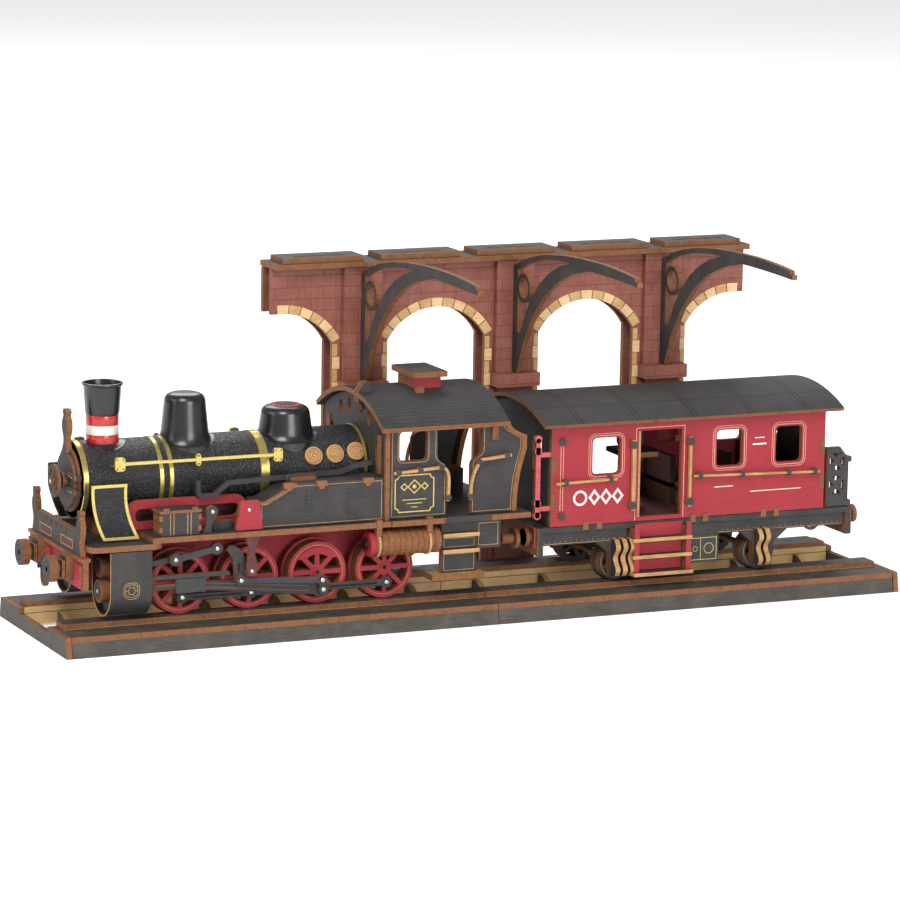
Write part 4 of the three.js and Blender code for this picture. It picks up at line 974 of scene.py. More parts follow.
def makeRods():
    # the main rod's front end lies at x - sqrt(reach^2 - rise^2), level with the axles
    m = motion
    mainX = m["axles"][2]
    for side in (near, far):
        name = sideNames[side]
        px, pz = quarter(side, 0, -m["crank"])
        x, z = mainX + px, m["axleZ"] + pz
        inner, outer = (side * v for v in m["rod"])
        rod = Piece(f"coupling_rod_bars_{name}")
        ends = [(a + px, z) for a in m["axles"]]
        upper = trail(*[arc(a, b, 2.4, 148 if i else 212, 32 if i < 3 else -32, 12) for i,
                        (a, b) in enumerate(ends)])
        lower = trail(*[arc(a, b, 2.4, -32 if i < 3 else -33, -148 if i else -147, 12) for i,
                        (a, b) in reversed(list(enumerate(ends)))])
        bores = [circle(a, b, 1.25, 20) for a, b in ends]
        rod.sheet("y", trail(upper, lower), inner, outer, "rod", "edgeY", holes=bores)
        for i in range(3):
            a0, a1 = ends[i][0] + 4.2, ends[i + 1][0] - 4.2
            rod.line("y", [(a0, z), (a1, z)], 0.8, outer, side * 0.06, "dark")
        rod.build(f"coupling_rod_{name}", [f"coupling_rod_{name}"])
        reach = math.hypot(mainX - m["crosshead"], m["crank"])
        frontX = x - math.sqrt(reach**2 - pz**2)
        main = Piece(f"main_rod_bar_{name}")
        inner, outer = (side * v for v in m["main"])
        shape = taperedRod((frontX, m["axleZ"]), (x, z), 2.9, 3.3, 2.0, 2.5)
        main.sheet("y", shape, inner, outer, "rod", "edgeY", holes=[circle(x, z, 1.28, 20)])
        flute = taperedRod((frontX + 6.5, m["axleZ"] + (z - m["axleZ"]) * 6.5 / (x - frontX)),
                           (x - 7, z - (z - m["axleZ"]) * 7 / (x - frontX)), 1.0, 1.2, 0.9, 1.1)
        main.line("y", flute, 0.3, outer, side * 0.08, "edgeY", closed=True)
        main.drum("y", (frontX, m["axleZ"]), 1.2, outer, outer + side * 0.3, "edgeY", "edgeY", 20)
        main.build(f"main_rod_{name}", [f"main_rod_{name}"])
        rx, rz = quarter(side, -1.5, -1.3)
        pinX, pinZ = mainX + rx, m["axleZ"] + rz
        run, hang, (pivotX, pivotZ) = m["eccentricRun"], m["linkRadius"], m["linkPivot"]
        footX = pinX - run
        footZ = pivotZ - hang * math.cos(math.asin((footX - pivotX) / hang))
        lean = math.asin((pinZ - footZ) / run)
        endX, endZ = pinX - run * math.cos(lean), pinZ - run * math.sin(lean)
        eccentric = Piece(f"eccentric_rod_bar_{name}")
        inner, outer = (side * v for v in m["eccentric"])
        shape = taperedRod((endX, endZ), (pinX, pinZ), 2.1, 2.1, 1.0, 1.3)
        eccentric.sheet("y", shape, inner, outer, "rod", "edgeY", holes=[circle(pinX, pinZ, 1.25, 20)])
        eccentric.stud("y", (endX, endZ), 0.95, outer, side * 0.4, "steel")
        eccentric.build(f"eccentric_rod_{name}", [f"eccentric_rod_{name}"])


def taperedRod(start, end, bossA, bossB, halfA, halfB):
    # two bosses joined by a bar whose half height changes from one to the other
    (a0, b0), (a1, b1) = start, end
    tilt = math.degrees(math.atan2(b1 - b0, a1 - a0))
    openA = math.degrees(math.asin(halfA / bossA))
    openB = math.degrees(math.asin(halfB / bossB))
    return trail(arc(a0, b0, bossA, tilt + openA, tilt + 360 - openA, 20),
                 arc(a1, b1, bossB, tilt + 180 + openB, tilt + 540 - openB, 20))


wheelSizes = {"driver": {"r": 13.2, "rim": 10.7, "hub": 3.3, "spoke": 2.0, "count": 8, "flange": 0.95,
                         "paint": "red"},
              "coach": {"r": 8.0, "rim": 5.9, "hub": 2.2, "spoke": 1.7, "count": 5, "flange": 0.75,
                        "paint": "rod"}}


def wheelHoles(x, z, w):
    # gap between spokes: at radius r, half a spoke takes asin(spoke / 2 / r) off each end
    holes = []
    for k in range(w["count"]):
        mid = 360 * (k + 0.5) / w["count"]
        halfOut = 180 / w["count"] - math.degrees(math.asin(w["spoke"] / 2 / w["rim"]))
        halfIn = 180 / w["count"] - math.degrees(math.asin(w["spoke"] / 2 / w["hub"]))
        outer = arc(x, z, w["rim"], mid - halfOut, mid + halfOut, 6)
        holes.append(trail(outer, arc(x, z, w["hub"], mid + halfIn, mid - halfIn, 3)))
    return holes


def makeWheelset(kind, x, z, name, body, node, index=0):
    # axle, and on each side a spoked face, a tread and a wider flange
    w = wheelSizes[kind]
    sets = Piece(name)
    sets.drum("y", (x, z), 1.4, -22, 22, "edgeY", "edgeY", 16)
    for side in (near, far):
        holes = wheelHoles(x, z, w)
        rim = circle(x, z, w["r"], 64)
        sets.sheet("y", rim, side * 24, side * 21.6, w["paint"], "edgeY", holes=holes)
        sets.sheet("y", rim, side * 21.6, side * 18.4, "edgeY", "edgeY", holes=holes)
        sets.sheet("y", circle(x, z, w["r"] + w["flange"], 64), side * 18.4, side * 16.8, w["paint"],
                   "edgeY", holes=holes)
        sets.line("y", circle(x, z, w["rim"] + 1.0, 56), 0.22, side * 24, side * 0.04, "light", closed=True)
        sets.drum("y", (x, z), w["hub"] * 0.62, side * 24, side * 24.35, w["paint"], "edgeY", 24)
        sets.stud("y", (x, z), 0.9, side * 24.35, side * 0.15, "dark")
        if kind == "driver":
            driverFittings(sets, side, x, z, index)
    sets.build(body, [node])


def driverFittings(sets, side, x, z, index):
    # crank pin at (x + px, z + pz); the third axle adds the weight opposite and a return crank
    px, pz = quarter(side, 0, -motion["crank"])
    face = side * 24
    a = math.degrees(math.atan2(pz, px))
    weight = trail(arc(x, z, 10.9, a + 180 - 58, a + 180 + 58, 16),
                   arc(x, z, 7.9, a + 180 + 34, a + 180 - 34, 10))
    if index == 2:
        sets.sheet("y", weight, face, face + side * 0.5, "red", "edgeY")
    sets.drum("y", (x + px, z + pz), 2.6, face, face + side * 0.5, "rod", "edgeY", 24)
    end = 31.6 if index == 2 else 26.9
    sets.drum("y", (x + px, z + pz), 0.98, face, side * end, "steel", "steel", 20)
    sets.stud("y", (x + px, z + pz), 0.98, side * end, side * 0.35, "steel", 20)
    if index == 2:
        rx, rz = quarter(side, -1.5, -1.3)
        crank = taperedRod((x + px, z + pz), (x + rx, z + rz), 2.0, 1.9, 1.3, 1.3)
        sets.sheet("y", crank, side * 30, side * 31.6, "rod", "edgeY")
        sets.drum("y", (x + rx, z + rz), 0.98, side * 31.6, side * 34.1, "steel", "steel", 20)
        sets.stud("y", (x + rx, z + rz), 0.98, side * 34.1, side * 0.3, "steel", 20)


def makeAirTanks():
    # drum of stacked discs between a red end and two straps
    discs = {"x0": -57.0, "pitch": 2.72, "count": 12, "r": 5.6, "y": 31.6, "z": 36.6}
    for side in (near, far):
        tank = Piece(f"air_tank_discs_{sideNames[side]}")
        centre = (side * discs["y"], discs["z"])
        for i in range(discs["count"]):
            x = discs["x0"] + i * discs["pitch"]
            r = discs["r"] - (0.0 if i % 2 else 0.14)
            paint = "red" if i == 0 else "edgeX"
            tank.lathe("x", centre,
                       [(0, x), (r - 0.25, x), (r, x + 0.3), (r, x + discs["pitch"] - 0.35),
                        (r - 0.3, x + discs["pitch"] - 0.02), (0, x + discs["pitch"] - 0.02)], paint, 36)
        tank.lathe("x", centre, [(0, -58.2), (2.3, -58.2), (2.3, -56.8), (0, -56.8)], "black", 20)
        for x in (-53.6, -30.2):
            band = [circle(*centre, 5.72, 40)]
            tank.sheet("x", circle(*centre, 6.05, 40), x, x + 1.0, "light", "light", holes=band)
            tank.block(x - 0.7, x + 1.7, side * 33.4, side * 36.4, 40.4, 47.6, "edgeX", "edgeX")
        tank.build("locomotive", [f"air_tank_{sideNames[side]}"])


makeCylinders()
makeRods()
for i, axleX in enumerate(motion["axles"]):
    makeWheelset("driver", axleX, motion["axleZ"], f"driving_wheels_{i + 1}", f"wheelset_{i + 1}",
                 f"driving_wheelset_{i + 1}", i)
for name, axleX in (("front", 64.0), ("rear", 134.0)):
    makeWheelset("coach", axleX, 19.2, f"coach_wheels_{name}", f"coach_axle_{name}",
                 f"coach_wheelset_{name}")
makeAirTanks()
print("wheels and rods made")


# roofs, cab and coach
roofs = {"cab_roof": {"x": (-52.5, 6.0), "half": 37.5, "top": 98.5, "edge": 86.8, "thick": 2.1,
                      "paint": "cabRoof", "body": "locomotive"},
         "coach_roof": {"x": (23.6, 169.0), "half": 36.0, "top": 91.2, "edge": 83.3, "thick": 1.5,
                        "paint": "coachRoof", "body": "coach"}}


def makeRoof(name):
    # arched sheet: a circle through both eaves and the ridge, radius (half^2 + rise^2) / (2 rise)
    spec = roofs[name]
    rise = spec["top"] - spec["edge"]
    r = (spec["half"] ** 2 + rise**2) / (2 * rise)
    centre = spec["top"] - r
    lean = math.degrees(math.asin(spec["half"] / r))
    upper = arc(0, centre, r, 90 - lean, 90 + lean, 48)
    lower = arc(0, centre, r - spec["thick"], 90 + lean, 90 - lean, 48)
    roof = Piece(name + "_sheet")
    roof.sheet("x", trail(upper, lower), *spec["x"], "edgeX", spec["paint"])
    for side in (near, far):
        tip = [side * spec["half"], spec["edge"]]
        eave = trail(tip, (tip[0] + side * 0.25, tip[1] - 0.15),
                     (tip[0] - side * 0.65, tip[1] - spec["thick"] + 0.1),
                     (tip[0] - side * 0.9, tip[1] - spec["thick"] + 0.4))
        roof.sheet("x", eave, *spec["x"], "edgeX", "edgeY")
    roof.build(spec["body"], [name])


def makeCabTrim():
    # outlines, ornament, waist rails and posts on each cab side
    z0, sill = 46.9, 66.9
    for side in (near, far):
        name = sideNames[side]
        y = side * 33.0
        trim = Piece(f"cab_trim_{name}")
        curve = bezier((-21.9, sill), (-21.9, sill + 4), (-26.3, sill + 2), (-26.3, sill + 7), 8)
        front = trail((-46.3, 85.4), (-46.3, z0 + 0.9), (-21.9, z0 + 0.9), curve, (-26.3, 84.9))
        trim.line("y", front, 0.24, y, side * 0.05, "light")
        trim.line("y", roundRect(-43.7, -29.5, 70.8, 85.0, 2.4), 0.24, y, side * 0.05, "light", closed=True)
        back = bezier((-3.7, sill + 8), (-3.7, sill + 3.5), (-8.8, sill + 5), (-8.8, sill + 1), 8)
        hip = bezier((9.1, z0 + 0.9), (8.9, z0 + 12), (11, z0 + 20), (13.4, z0 + 27), 8)
        neck = bezier((13.4, z0 + 32), (8, z0 + 34), (5.6, z0 + 36), (5.4, 84.4), 8)
        rear = trail((-3.7, 84.4), back, (-8.8, z0 + 0.9), hip, neck)
        trim.line("y", rear, 0.24, y, side * 0.05, "light")
        trim.line("y", notched(-44.8, -27.0, 49.6, 65.4, 1.7), 0.5, y, side * 0.08, "gold", closed=True)
        for z, cut in ((51.6, 5.6), (53.2, 3.6), (54.8, 1.6)):
            trim.line("y", [(-43.0 + cut, z), (-28.8 - cut, z)], 0.34, y, side * 0.08, "gold")
        for x, wide in ((-35.9, 3.0), (-40.6, 1.5), (-31.2, 1.5)):
            lozenge = [(x - wide, 60.4), (x, 60.4 - wide * 0.95), (x + wide, 60.4), (x, 60.4 + wide * 0.95)]
            trim.line("y", lozenge, 0.5, y, side * 0.08, "gold", closed=True)
        trim.stud("y", (-35.9, 60.4), 0.9, y, side * 0.15, "gold")
        # waist rails in pale wood on dark clips
        out = y + side * 1.5
        trim.line("y",
                  trail((-46.0, 66.8), (-24.6, 68.2), bezier((-24.6, 68.2), (-21.4, 68.2), (-20.6, 65.5),
                                                             (-20.7, 61), 6)[1:], (-20.9, 53.5)),
                  1.2, y + side * 0.7, side * 1.4, "light")
        trim.line("y", trail(bezier((-10.4, 53.4), (-10.9, 60), (-9.4, 66), (-5.6, 70.4), 8), (8.4, 71.6)),
                  1.2, y + side * 0.7, side * 1.4, "light")
        for x, z in ((-44.0, 66.9), (-34, 67.6), (-24.2, 68.2), (-20.8, 55.0), (-10.3, 54.8), (-6.6, 69.6),
                     (6.4, 71.4)):
            trim.drum("y", (x, z), 1.25, y, out + side * 0.9, "rod", "edgeY", 16)
        trim.sheet("y", rect(-0.4, 2.4, 78.6, 86.6), y, y + side * 1.2, "edgeY")
        spine = trail(bezier((10.6, z0), (10.5, z0 + 12), (12.6, z0 + 20), (15.0, z0 + 27), 8),
                      (15.0, z0 + 32),
                      bezier((15.0, z0 + 32), (9.6, z0 + 34), (7.2, z0 + 36), (7.0, 86.0), 8)[1:])
        for k in range(3):
            trim.line("y", spine, 2.2, side * (33.5 - k * 2.6), -side * 2.2, "edgeY")
        trim.drum("x", (side * 24, 33), 2.4, 9.0, 14.4, "edgeX", "edgeX", 20)
        trim.drum("x", (side * 24, 33), 4.6, 14.4, 16.2, "edgeX", "edgeX", 32)
        trim.block(-49.6, -47.6, side * 30.4, side * 33.6, 44.4, 86.0, "edgeX")
        trim.block(-47.4, -24.0, side * 36.0, side * 36.9, 44.3, 46.6, "edgeZ")
        trim.block(-22.4, -2.0, side * 36.0, side * 36.7, 44.3, 46.6, "grey", "edgeZ")
        trim.block(-1.4, 17.0, side * 36.0, side * 36.9, 44.3, 46.6, "edgeZ")
        stepTrim(trim, side)
        trim.build("locomotive")
    cabInside()


def notched(x0, x1, z0, z1, cut):
    # rectangle whose corners are hollowed by quarter circles
    corners = ((x0, z0, 90, 0), (x1, z0, 180, 90), (x1, z1, 270, 180), (x0, z1, 360, 270))
    return trail(*[arc(x, z, cut, a, b, 6) for x, z, a, b in corners])


def stepTrim(trim, side):
    # cab steps: dark panel, pale treads; locker with an outlined door
    y = side * 34.0
    trim.block(-23.4, -7.4, y, y + side * 0.35, 22.2, 44.0, "greyUp", "edgeY")
    for z in (31.0, 38.0):
        trim.block(-23.8, -7.0, side * 33.9, side * 37.3, z, z + 1.7, "grey", "light", "z")
    trim.block(-28.6, -4.3, side * 28.4, side * 36.9, 19.5, 22.1, "light", "edgeZ", "z")
    trim.line("y", rect(-22.4, -8.4, 23.2, 30.2), 0.22, y + side * 0.35, side * 0.05, "light", closed=True)
    trim.line("y", rect(-22.4, -8.4, 33.4, 37.0), 0.22, y + side * 0.35, side * 0.05, "light", closed=True)
    trim.block(-7.2, 4.4, side * 33.0, side * 33.4, 31.6, 44.1, "grey", "edgeY")
    trim.line("y", rect(-5.8, 3.2, 33.0, 42.6), 0.25, side * 33.4, side * 0.05, "light", closed=True)


def cabInside():
    # backhead with discs, a seat, the whistle and the ventilator's red box
    inside = Piece("cab_interior")
    inside.block(-47.0, -42.0, -22, 22, 46.7, 70, "edgeX", "edgeX", "x")
    inside.drum("x", (0, 62), 12, -42.0, -40.4, "grey", "edgeX")
    inside.drum("x", (0, 56), 6.5, -40.4, -39.6, "edgeX", "edgeX", 28)
    for y in (-14, 14):
        inside.drum("x", (y, 66.5), 2.3, -42.0, -40.6, "light", "edgeX", 20)
    inside.block(-12, 6, 10, 26, 46.7, 58, "grey", "edgeX")
    inside.build("locomotive")
    trim = Piece("whistle")
    shape = trail((-50.6, 90.4), (-47.0, 90.4), (-46.4, 92.2), (-45.2, 93.4), (-45.2, 98.4), (-46.4, 100.0),
                  (-47.8, 102.2),
                  (-49.8, 102.2), (-51.2, 100.0), (-52.4, 98.4), (-52.4, 93.4), (-51.2, 92.2))
    for y, depth in ((-9.6, 1.6), (-7.4, 2.4)):
        trim.sheet("y", shape, y, y + depth, "grey", "edgeY")
    for z in (94.6, 96.8):
        trim.line("y", [(-51.6, z), (-46.0, z)], 0.3, -9.6, -0.06, "light")
    for y, high in ((-28.0, 3.6), (28.0, 3.6)):
        trim.block(-50.6, -49.9, y - 1.3, y + 1.3, 66, 86 - high, "edgeX")
    vent = nodeBox("cab_ventilator")
    (x0, y0, _), (x1, y1, z1) = vent
    trim.block(x0 + 1.6, x1 - 1.6, y0 + 3.6, y1 - 3.6, 98.0, 103.0, "red", "edgeY")
    trim.block(x0 + 1.0, x1 - 1.0, y0 + 1.0, y1 - 1.0, z1, z1 + 0.25, "roof", "edgeZ", "z")
    trim.block(-27.6, -24.0, -14.6, -12.0, 97.0, 99.6, "edgeY")
    trim.build("locomotive")


windowsOf = {"x": ((49.2, 62.6), (109.3, 122.1), (138.5, 151.5)), "z": (59.5, 75.6)}
coachSizes = {"x": (29.6, 163.1), "z": (37.7, 82.6), "face": 30.0, "door": (71.3, 92.3, 39.4, 77.6)}


def makeCoachTrim():
    # outlines, brackets, handrails and ornaments on both sides of the coach
    c = coachSizes
    (x0, x1), (z0, z1) = c["x"], c["z"]
    d0, d1, _, dz1 = c["door"]
    w0, w1 = windowsOf["z"]
    for side in (near, far):
        name = sideNames[side]
        y = side * c["face"]
        trim = Piece(f"coach_trim_{name}")

        def outlined(a0, a1, b0, b1, r):
            # two pale outlines outside an opening, each grown by its distance
            for grow, width in ((0.9, 0.3), (1.8, 0.22)):
                trim.line("y", roundRect(a0 - grow, a1 + grow, b0 - grow, b1 + grow, r + grow), width, y,
                          side * 0.06, "pinkLine", closed=True)

        for a0, a1 in windowsOf["x"]:
            outlined(a0, a1, w0, w1, 1.4)
        doorLine = trail((d0 - 1.2, z0 + 0.4), (d0 - 1.2, dz1 + 1.2), (d1 + 1.2, dz1 + 1.2),
                         (d1 + 1.2, z0 + 0.4))
        trim.line("y", doorLine, 0.3, y, side * 0.06, "pinkLine")
        for a, b in ((x0, x0 + 2.4), (x1 - 2.4, x1)):
            for z in (46.5, 62.0):
                trim.block(a, b, y - side * 0.3, y + side * 0.2, z, z + 6.0, "edgeY")
        trim.sheet("y", rect(x0 - 0.2, x0 + 0.6, z0, z1), y - side * 0.3, y + side * 0.15, "edgeY")
        # corner brackets and the two pairs of lines between them
        for z in (42.0, 74.6):
            trim.sheet("y", rect(x0 + 3.6, x0 + 6.4, z - 1.1, z + 1.7), y, y + side * 0.9, "rod", "edgeY")
        for x in (x0 + 4.4, x0 + 5.6):
            trim.line("y", [(x, 44.6), (x, 73.0)], 0.26, y, side * 0.06, "pinkLine")
        # handrails in pale wood on dark clips
        rails = (((x0 + 1.6, 57.0), (x0 + 30.6, 57.4), (4.6, 26.0)),
                 ((d1 + 5.0, 56.4), (x1 - 3.4, 54.6), (3.2, 24.0, 47.0, 60.0)))
        for (ax, az), (bx, bz), clips in rails:
            trim.line("y", [(ax, az), (bx, bz)], 0.95, y + side * 1.0, side * 1.5, "light")
            for at in clips:
                z = az + (bz - az) * at / (bx - ax)
                trim.sheet("y", rect(ax + at - 0.9, ax + at + 0.9, z - 1.3, z + 1.5), y, y + side * 2.9,
                           "rod", "edgeY")
        for x in (d0 - 3.4, d1 + 3.2):
            trim.line("y", [(x, 43.0), (x, 74.0)], 1.2, y + side * 1.2, side * 1.5, "light")
            for z in (45.4, 72.0):
                trim.drum("y", (x, z), 1.7, y, y + side * 3.1, "rod", "edgeY", 18)
        for x in (46.5, 53.0, 98.4, 104.6, 133.2, 139.6):
            trim.sheet("y", rect(x - 1.3, x + 1.3, z0 - 2.2, z0 + 1.4), y - side * 0.4, y + side * 0.35,
                       "edgeY")
        # generic panel ornaments: bars and rings in place of any lettering
        for x in (50.4, 56.0, 61.6):
            trim.line("y", [(x - 2.2, 49.6), (x, 46.8), (x + 2.2, 49.6), (x, 52.4)], 1.0, y, side * 0.06,
                      "whiteLine", closed=True)
        trim.line("y", circle(43.6, 49.6, 2.9, 24), 1.0, y, side * 0.06, "whiteLine", closed=True)
        for x, z, half, width in ((130.4, 68.4, 3.4, 0.7), (130.4, 71.2, 2.4, 0.4), (113.2, 50.4, 4.6, 0.4),
                                  (139.0, 47.4, 12.5, 0.36)):
            trim.line("y", [(x - half, z), (x + half, z)], width, y, side * 0.06, "whiteLine")
        trim.build("coach")
    makeCoachGates()
    makeCoachInside()


def makeCoachGates():
    # gate posts of the open platforms, lattice and end rails
    gates = Piece("platform_gates")
    for side in (near, far):
        y0, y1 = side * 27.8, side * 30.0
        gates.sheet("y", roundRect(22.2, 24.4, 42.0, 77.0, 1.0), y0, y1, "pink", "edgeY")
        for z in (43.0, 48.4, 71.4, 76.6):
            gates.drum("y", (23.3, z), 1.7, y0, y1, "pink", "edgeY", 20)
        for z in (46.0, 69.6):
            gates.block(24.6, 29.6, y0 + side * 0.3, y1 - side * 0.3, z - 1.0, z + 1.0, "pink", "edgeY")
        lattice = trail((164.6, 38.0), (174.6, 38.0), (174.6, 60.0), (171.0, 64.6), (164.6, 64.6))
        gates.sheet("y", lattice, y0, y1, "rod", "edgeY", holes=latticeHoles())
        loop = oval(158.0, 30.2, 3.4, 2.5)
        gates.sheet("y", loop, side * 27.7, side * 29.0, "rod", "edgeY", holes=[oval(158.0, 30.2, 2.1, 1.3)])
    gates.block(174.6, 176.8, -30, 30, 38.0, 40.4, "rod", "edgeX")
    gates.block(174.6, 176.8, -30, 30, 57.6, 60.0, "rod", "edgeX")
    for y in np.linspace(-27, 27, 10):
        gates.block(174.9, 176.5, y - 0.8, y + 0.8, 40.2, 57.8, "rod", "edgeX")
    gates.build("coach")


def latticeHoles():
    # four triangles left between a pair of crossing bars, over two squares
    holes = []
    for z in (43.8, 54.4):
        for a in (0, 90, 180, 270):
            c, s = round(math.cos(math.radians(a))), round(math.sin(math.radians(a)))
            points = np.array([(1.2, 0.0), (3.7, 2.7),
                               (3.7, -2.7)]) if c else np.array([(1.2, 0.0), (4.0, 2.5), (4.0, -2.5)])
            turned = points @ np.array([[c, s], [-s, c]])
            holes.append(turned + [169.6, z + 4.2 - 0.6])
    return holes


def makeCoachInside():
    # floor, four benches and a table
    d0, _, dz0, _ = coachSizes["door"]
    inside = Piece("coach_interior")
    inside.block(31, 161, -26, 26, 37.4, 38.4, "wine", "edgeX", "z")
    for x in (40.0, 100.0, 128.0, 148.0):
        inside.block(x, x + sheet, -4, 22, 38.4, 60.0, "edgeX", "grey", "x")
        for y in (-2, 18):
            inside.block(x + sheet, x + 12, y, y + 2, 38.4, 46.0, "edgeY")
        inside.block(x, x + 12.4, -4, 22, 46.0, 48.0, "grey", "edgeX", "z")
    # table with a shaped leg, seen through the doorway
    inside.block(74, 90, -12, 8, 62.0, 64.2, "grey", "edgeX", "z")
    leg = trail((78, 38.4), (87, 38.4), (84.6, 44), (83.6, 52), (86.6, 62), (78.4, 62), (81, 52), (80.4, 44))
    inside.sheet("y", leg, -4.4, -2.0, "grey", "edgeY")
    inside.sheet("y", roundRect(76, 88.6, 64.2, 72.6, 3.6), -0.6, 1.8, "grey", "edgeY")
    inside.block(d0 - 0.1, d0 + 1.0, -29.9, -27.0, dz0, 77.4, "light", "edgeX")
    inside.build("coach")


def makeUnderframeTrim():
    # solebar faces, door steps, battery boxes, axle guards and the coach's buffers
    d0, d1 = coachSizes["door"][:2]
    for side in (near, far):
        name = sideNames[side]
        y = side * 27.6
        under = Piece(f"underframe_trim_{name}")
        bar = trail((99.4, 29.3), (174.0, 29.3), (174.0, 37.2), (102.6, 37.2),
                    bezier((102.6, 37.2), (99.4, 37.2), (99.4, 34.6), (99.4, 32), 5)[1:])
        under.sheet("y", bar, y, y + side * 1.3, "grey", "edgeY")
        under.sheet("y", rect(26.0, d0 - 4.2, 29.3, 37.2), y, y + side * 1.3, "grey", "edgeY")
        face = y + side * 1.3
        for a0, a1 in ((27.2, d0 - 5.4), (103.4, 172.8)):
            for z in (30.8, 35.8):
                for x in np.arange(a0, a1, 2.6):
                    under.stud("y", (x, z), 0.22, face, side * 0.1, "light", 6)
            under.line("y", [(a0 - 0.4, 29.9), (a1 + 0.2, 29.9)], 0.2, face, side * 0.05, "light")
        # door steps: red cheeks, dark treads with pale lips
        for x in (d0 - 3.2, d1 + 0.9):
            cheek = trail((x, 14.4), (x + sheet, 14.4), (x + sheet, 37.0), (x, 37.0))
            under.sheet("y", cheek, side * 34.2, side * 34.7, "red", "edgeY")
        under.block(d0 - 1.0, d1 + 1.0, side * 30.2, side * 30.7, 16.0, 36.6, "red", "edgeY")
        for z, reach in ((14.0, 36.0), (21.5, 34.6), (29.0, 34.6)):
            under.block(d0 - 3.8, d1 + 3.8, side * 28.2, side * (reach + 0.25), z + 0.2, z + 1.75, "grey",
                        "light", "z")
        under.block(d0 - 3.6, d1 + 3.6, side * 27.8, side * 29.9, 34.8, 37.3, "red", "edgeY")
        # battery box with outlined door
        b0, b1 = d1 + 4.4, d1 + 19.4
        box = side * 29.0
        under.block(b0 + 0.1, b1 - 0.1, box, box + side * 0.5, 17.2, 29.0, "rod", "edgeY")
        under.line("y", rect(b0 + 1.1, b1 - 1.1, 18.3, 28.0), 0.28, box + side * 0.5, side * 0.05, "gold",
                   closed=True)
        under.line("y", [(b0 + 6.2, 18.3), (b0 + 6.2, 28.0)], 0.24, box + side * 0.5, side * 0.05, "gold")
        under.line("y", circle(b0 + 10.2, 23.2, 2.3, 24), 0.28, box + side * 0.5, side * 0.05, "gold",
                   closed=True)
        under.line("y", circle(b0 + 3.6, 23.2, 1.1, 16), 0.2, box + side * 0.5, side * 0.05, "gold",
                   closed=True)
        for x in (64.0, 134.0):
            axleGuard(under, side, x)
        under.build("coach")
    ends = Piece("coach_buffers")
    for side in (near, far):
        for x, tip in ((24.0, 19.4), (177.0, 181.6)):
            out = 1 if tip > x else -1
            ends.drum("x", (side * 24, 33), 4.0, tip - out * 1.8, tip, "edgeX", "edgeX", 32)
            ends.drum("x", (side * 24, 33), 2.4, x, tip - out * 1.8, "rod", "edgeX", 20)
            ends.block(x, x + out * 1.2, side * 24 - 4.2, side * 24 + 4.2, 28.6, 37.2, "red", "edgeX", "x")
    ends.block(23.6, 24.0, -30.2, 30.2, 25.2, 37.4, "edgeX", "edgeX")
    ends.block(177.0, 177.4, -30.2, 30.2, 25.2, 37.4, "edgeX", "edgeX")
    ends.tube([(19.0, 0, 30.5), (15.4, 0, 29.0), (13.8, 0, 31.2), (16.2, 0, 32.6)], 0.8, "rod")
    ends.build("coach")


def axleGuard(under, side, x):
    # hornblock with leaf-spring layers over it
    face = side * 29.5
    plate = trail((x - 4.0, 13.4), (x + 4.0, 13.4), (x + 5.2, 24), (x + 11.6, 29.4), (x - 11.6, 29.4),
                  (x - 5.2, 24))
    under.sheet("y", plate, side * 27.7, face, "grey", "edgeY", holes=[circle(x, 19.2, 1.5, 20)])
    under.drum("y", (x, 19.2), 2.7, face, face + side * 0.6, "rod", "edgeY", 24)
    heights = np.linspace(14.6, 30.6, 25)
    wave = 33.0 + 1.5 * np.sin((heights - 14.6) * 0.62)
    for k in range(3 if x < 100 else 2):
        outer = np.column_stack([side * wave, heights])
        layer = trail((side * 27.7, 30.6), (side * 27.7, 25.4), (side * 29.6, 14.6), outer)
        at = x - 4.6 + k * 3.6
        under.sheet("x", layer, at, at + 2.2, "grey", "light")


for roofName in roofs:
    makeRoof(roofName)
makeCabTrim()
makeCoachTrim()
makeUnderframeTrim()
print("cab and coach trimmed")


# arcade stones and track marks
arcadeSizes = {"face": 47.0, "back": 59.0, "arches": (-64.8, 8.4, 81.6, 154.8), "x": (-70.2, 160.2),
               "z": 97.0, "r": 26.8,
               "spring": 29.0, "stones": 11, "depth": 4.0, "jamb": 23.45}


def makeStones():
    # stone k spans (180 - 2 * spring) / stones degrees, less half a degree at each end
    a = arcadeSizes
    stones = Piece("arch_stones")
    for y, out in ((a["face"], -0.35), (a["back"], 0.35)):
        for x in a["arches"]:
            step = (180 - 2 * a["spring"]) / a["stones"]
            for k in range(a["stones"]):
                t0, t1 = a["spring"] + k * step + 0.5, a["spring"] + (k + 1) * step - 0.5
                outer = arc(x, a["z"], a["r"] + a["depth"], t0, t1, 3)
                inner = arc(x, a["z"], a["r"] + 0.05, t1, t0, 3)
                stone = trail(outer, inner)
                if stone[:, 0].min() > a["x"][0] and stone[:, 0].max() < a["x"][1]:
                    stones.sheet("y", stone, y, y + out, "cream" if k % 2 else "cream2")
            for hand in (-1, 1):
                edge = x + hand * a["jamb"]
                if a["x"][0] < edge < a["x"][1]:
                    makeJamb(stones, edge, hand, y, out)
    stones.build("track_and_arcade")


def makeJamb(stones, edge, hand, y, out):
    # quoins down each side of an opening, long and short in turn
    high = 5.6
    for k in range(17):
        z = 109.4 - (k + 1) * high
        wide = 3.4 if k % 2 else 2.3
        x0, x1 = sorted((edge + hand * 0.05, edge + hand * wide))
        stones.block(x0, x1, y, y + out, max(z, 12.0) + 0.3, z + high, "cream" if k % 2 else "cream2")


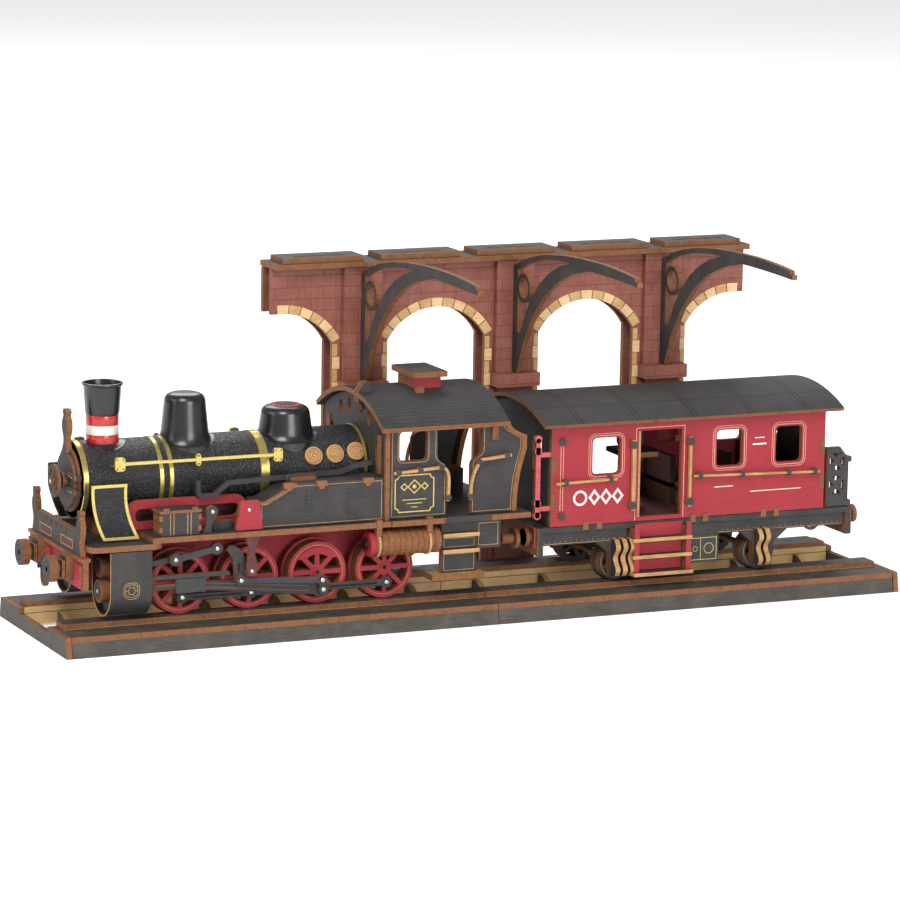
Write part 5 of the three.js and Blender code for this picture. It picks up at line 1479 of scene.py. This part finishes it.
def makeTrackMarks():
    # keys, rings and short lines on the decks, and pairs of studs on the rail strips
    marks = Piece("track_marks")
    for side in (near, far):
        for y in (side * 35.0, side * 14.0):
            if abs(y) > 20:
                key = trail((-6, y - 2.6), (0, y - 1.0), (6, y - 2.6), (6, y + 2.6), (0, y + 1.0),
                            (-6, y + 2.6))
                marks.line("z", key, 0.35, 8.7, 0.06, "edgeZ", closed=True)
        for x in (-186.0, 186.0):
            marks.line("z", circle(x, side * 35, 1.6, 16), 0.3, 8.7, 0.06, "edgeZ", closed=True)
        for x in (-150, -60, 60, 150):
            marks.line("z", [(x - 3, side * 30.6), (x + 3, side * 30.6)], 0.35, 8.7, 0.06, "edgeZ")
        for x in np.arange(-176, 180, 32.0):
            for dx in (-1.2, 1.2):
                marks.stud("z", (x + dx, side * 26.2), 0.55, 11.1, 0.25, "rod", 10)
    marks.build("track_and_arcade")


makeStones()
makeTrackMarks()
print("arcade and track marked")


# light, floor and camera
camera = {"back": (-24.02, 10.49), "roll": 0.94, "place": (-783.3, -1746.5, 422.5), "lens": 179.6}


def makeCamera():
    # the axes are the ground angle and the height angle, then the roll about the line of sight
    a, e = (math.radians(v) for v in camera["back"])
    roll = math.radians(camera["roll"])
    back = Vector((math.sin(a) * math.cos(e), -math.cos(a) * math.cos(e), math.sin(e)))
    level = Vector((math.cos(a), math.sin(a), 0))
    upright = back.cross(level)
    right = level * math.cos(roll) + upright * math.sin(roll)
    up = upright * math.cos(roll) - level * math.sin(roll)
    eye = bpy.data.cameras.new("photo_camera")
    eye.lens, eye.sensor_width, eye.clip_start, eye.clip_end = camera["lens"], 36, 0.01, 50
    eye.dof.use_dof = False
    thing = bpy.data.objects.new("photo_camera", eye)
    turn = Matrix((right, up, back)).transposed().to_4x4()
    spot = Vector(camera["place"]) / 1000 + Vector((0, trackMiddle, 0))
    thing.matrix_world = Matrix.Translation(spot) @ turn
    bpy.context.scene.collection.objects.link(thing)
    bpy.context.scene.camera = thing


lamps = {
    "key": {"at": (-1.0, -1.3, 1.6), "size": 0.9, "power": 33, "tint": (1.0, 0.985, 0.96)},
    "fill": {"at": (0.15, -1.9, 0.5), "size": 0.8, "power": 17, "tint": (0.95, 0.97, 1.0)},
    "front": {"at": (-1.9, 0.1, 0.7), "size": 1.0, "power": 10, "tint": (1.0, 0.99, 0.97)},
    "back": {"at": (0.4, 1.6, 1.6), "size": 1.4, "power": 24, "tint": (1.0, 1.0, 1.0)},
}


def makeLights():
    # area lamps turned to a spot 60 mm above the table, and an even white world
    for name, lamp in lamps.items():
        light = bpy.data.lights.new(name + "_light", "AREA")
        light.energy, light.size, light.color = lamp["power"], lamp["size"], lamp["tint"]
        thing = bpy.data.objects.new(name + "_light", light)
        spot = Vector(lamp["at"])
        thing.location = spot
        thing.rotation_euler = (spot - Vector((0, 0, 0.06))).to_track_quat("Z", "Y").to_euler()
        bpy.context.scene.collection.objects.link(thing)
    world = bpy.data.worlds.new("studio")
    world.use_nodes = True
    world.node_tree.nodes["Background"].inputs[0].default_value = (1, 1, 1, 1)
    world.node_tree.nodes["Background"].inputs[1].default_value = 0.42
    bpy.context.scene.world = world


def makeFloor():
    # wide square at table level that shines a little
    mesh = bpy.data.meshes.new("floor")
    half = 40.0
    mesh.from_pydata([(-half, -half, 0), (half, -half, 0), (half, half, 0), (-half, half, 0)], [],
                     [(0, 1, 2, 3)])
    p = Paint("floor_white")
    p.finish((0.86, 0.86, 0.86, 1), 0.9)
    p.shader.inputs["Emission Color"].default_value = (1, 1, 1, 1)
    p.shader.inputs["Emission Strength"].default_value = 0.42
    mesh.materials.append(p.material)
    floor = bpy.data.objects.new("floor", mesh)
    bpy.context.scene.collection.objects.link(floor)


makeCamera()
makeLights()
makeFloor()
bpy.context.scene.view_settings.view_transform = "Standard"
print("stage made")
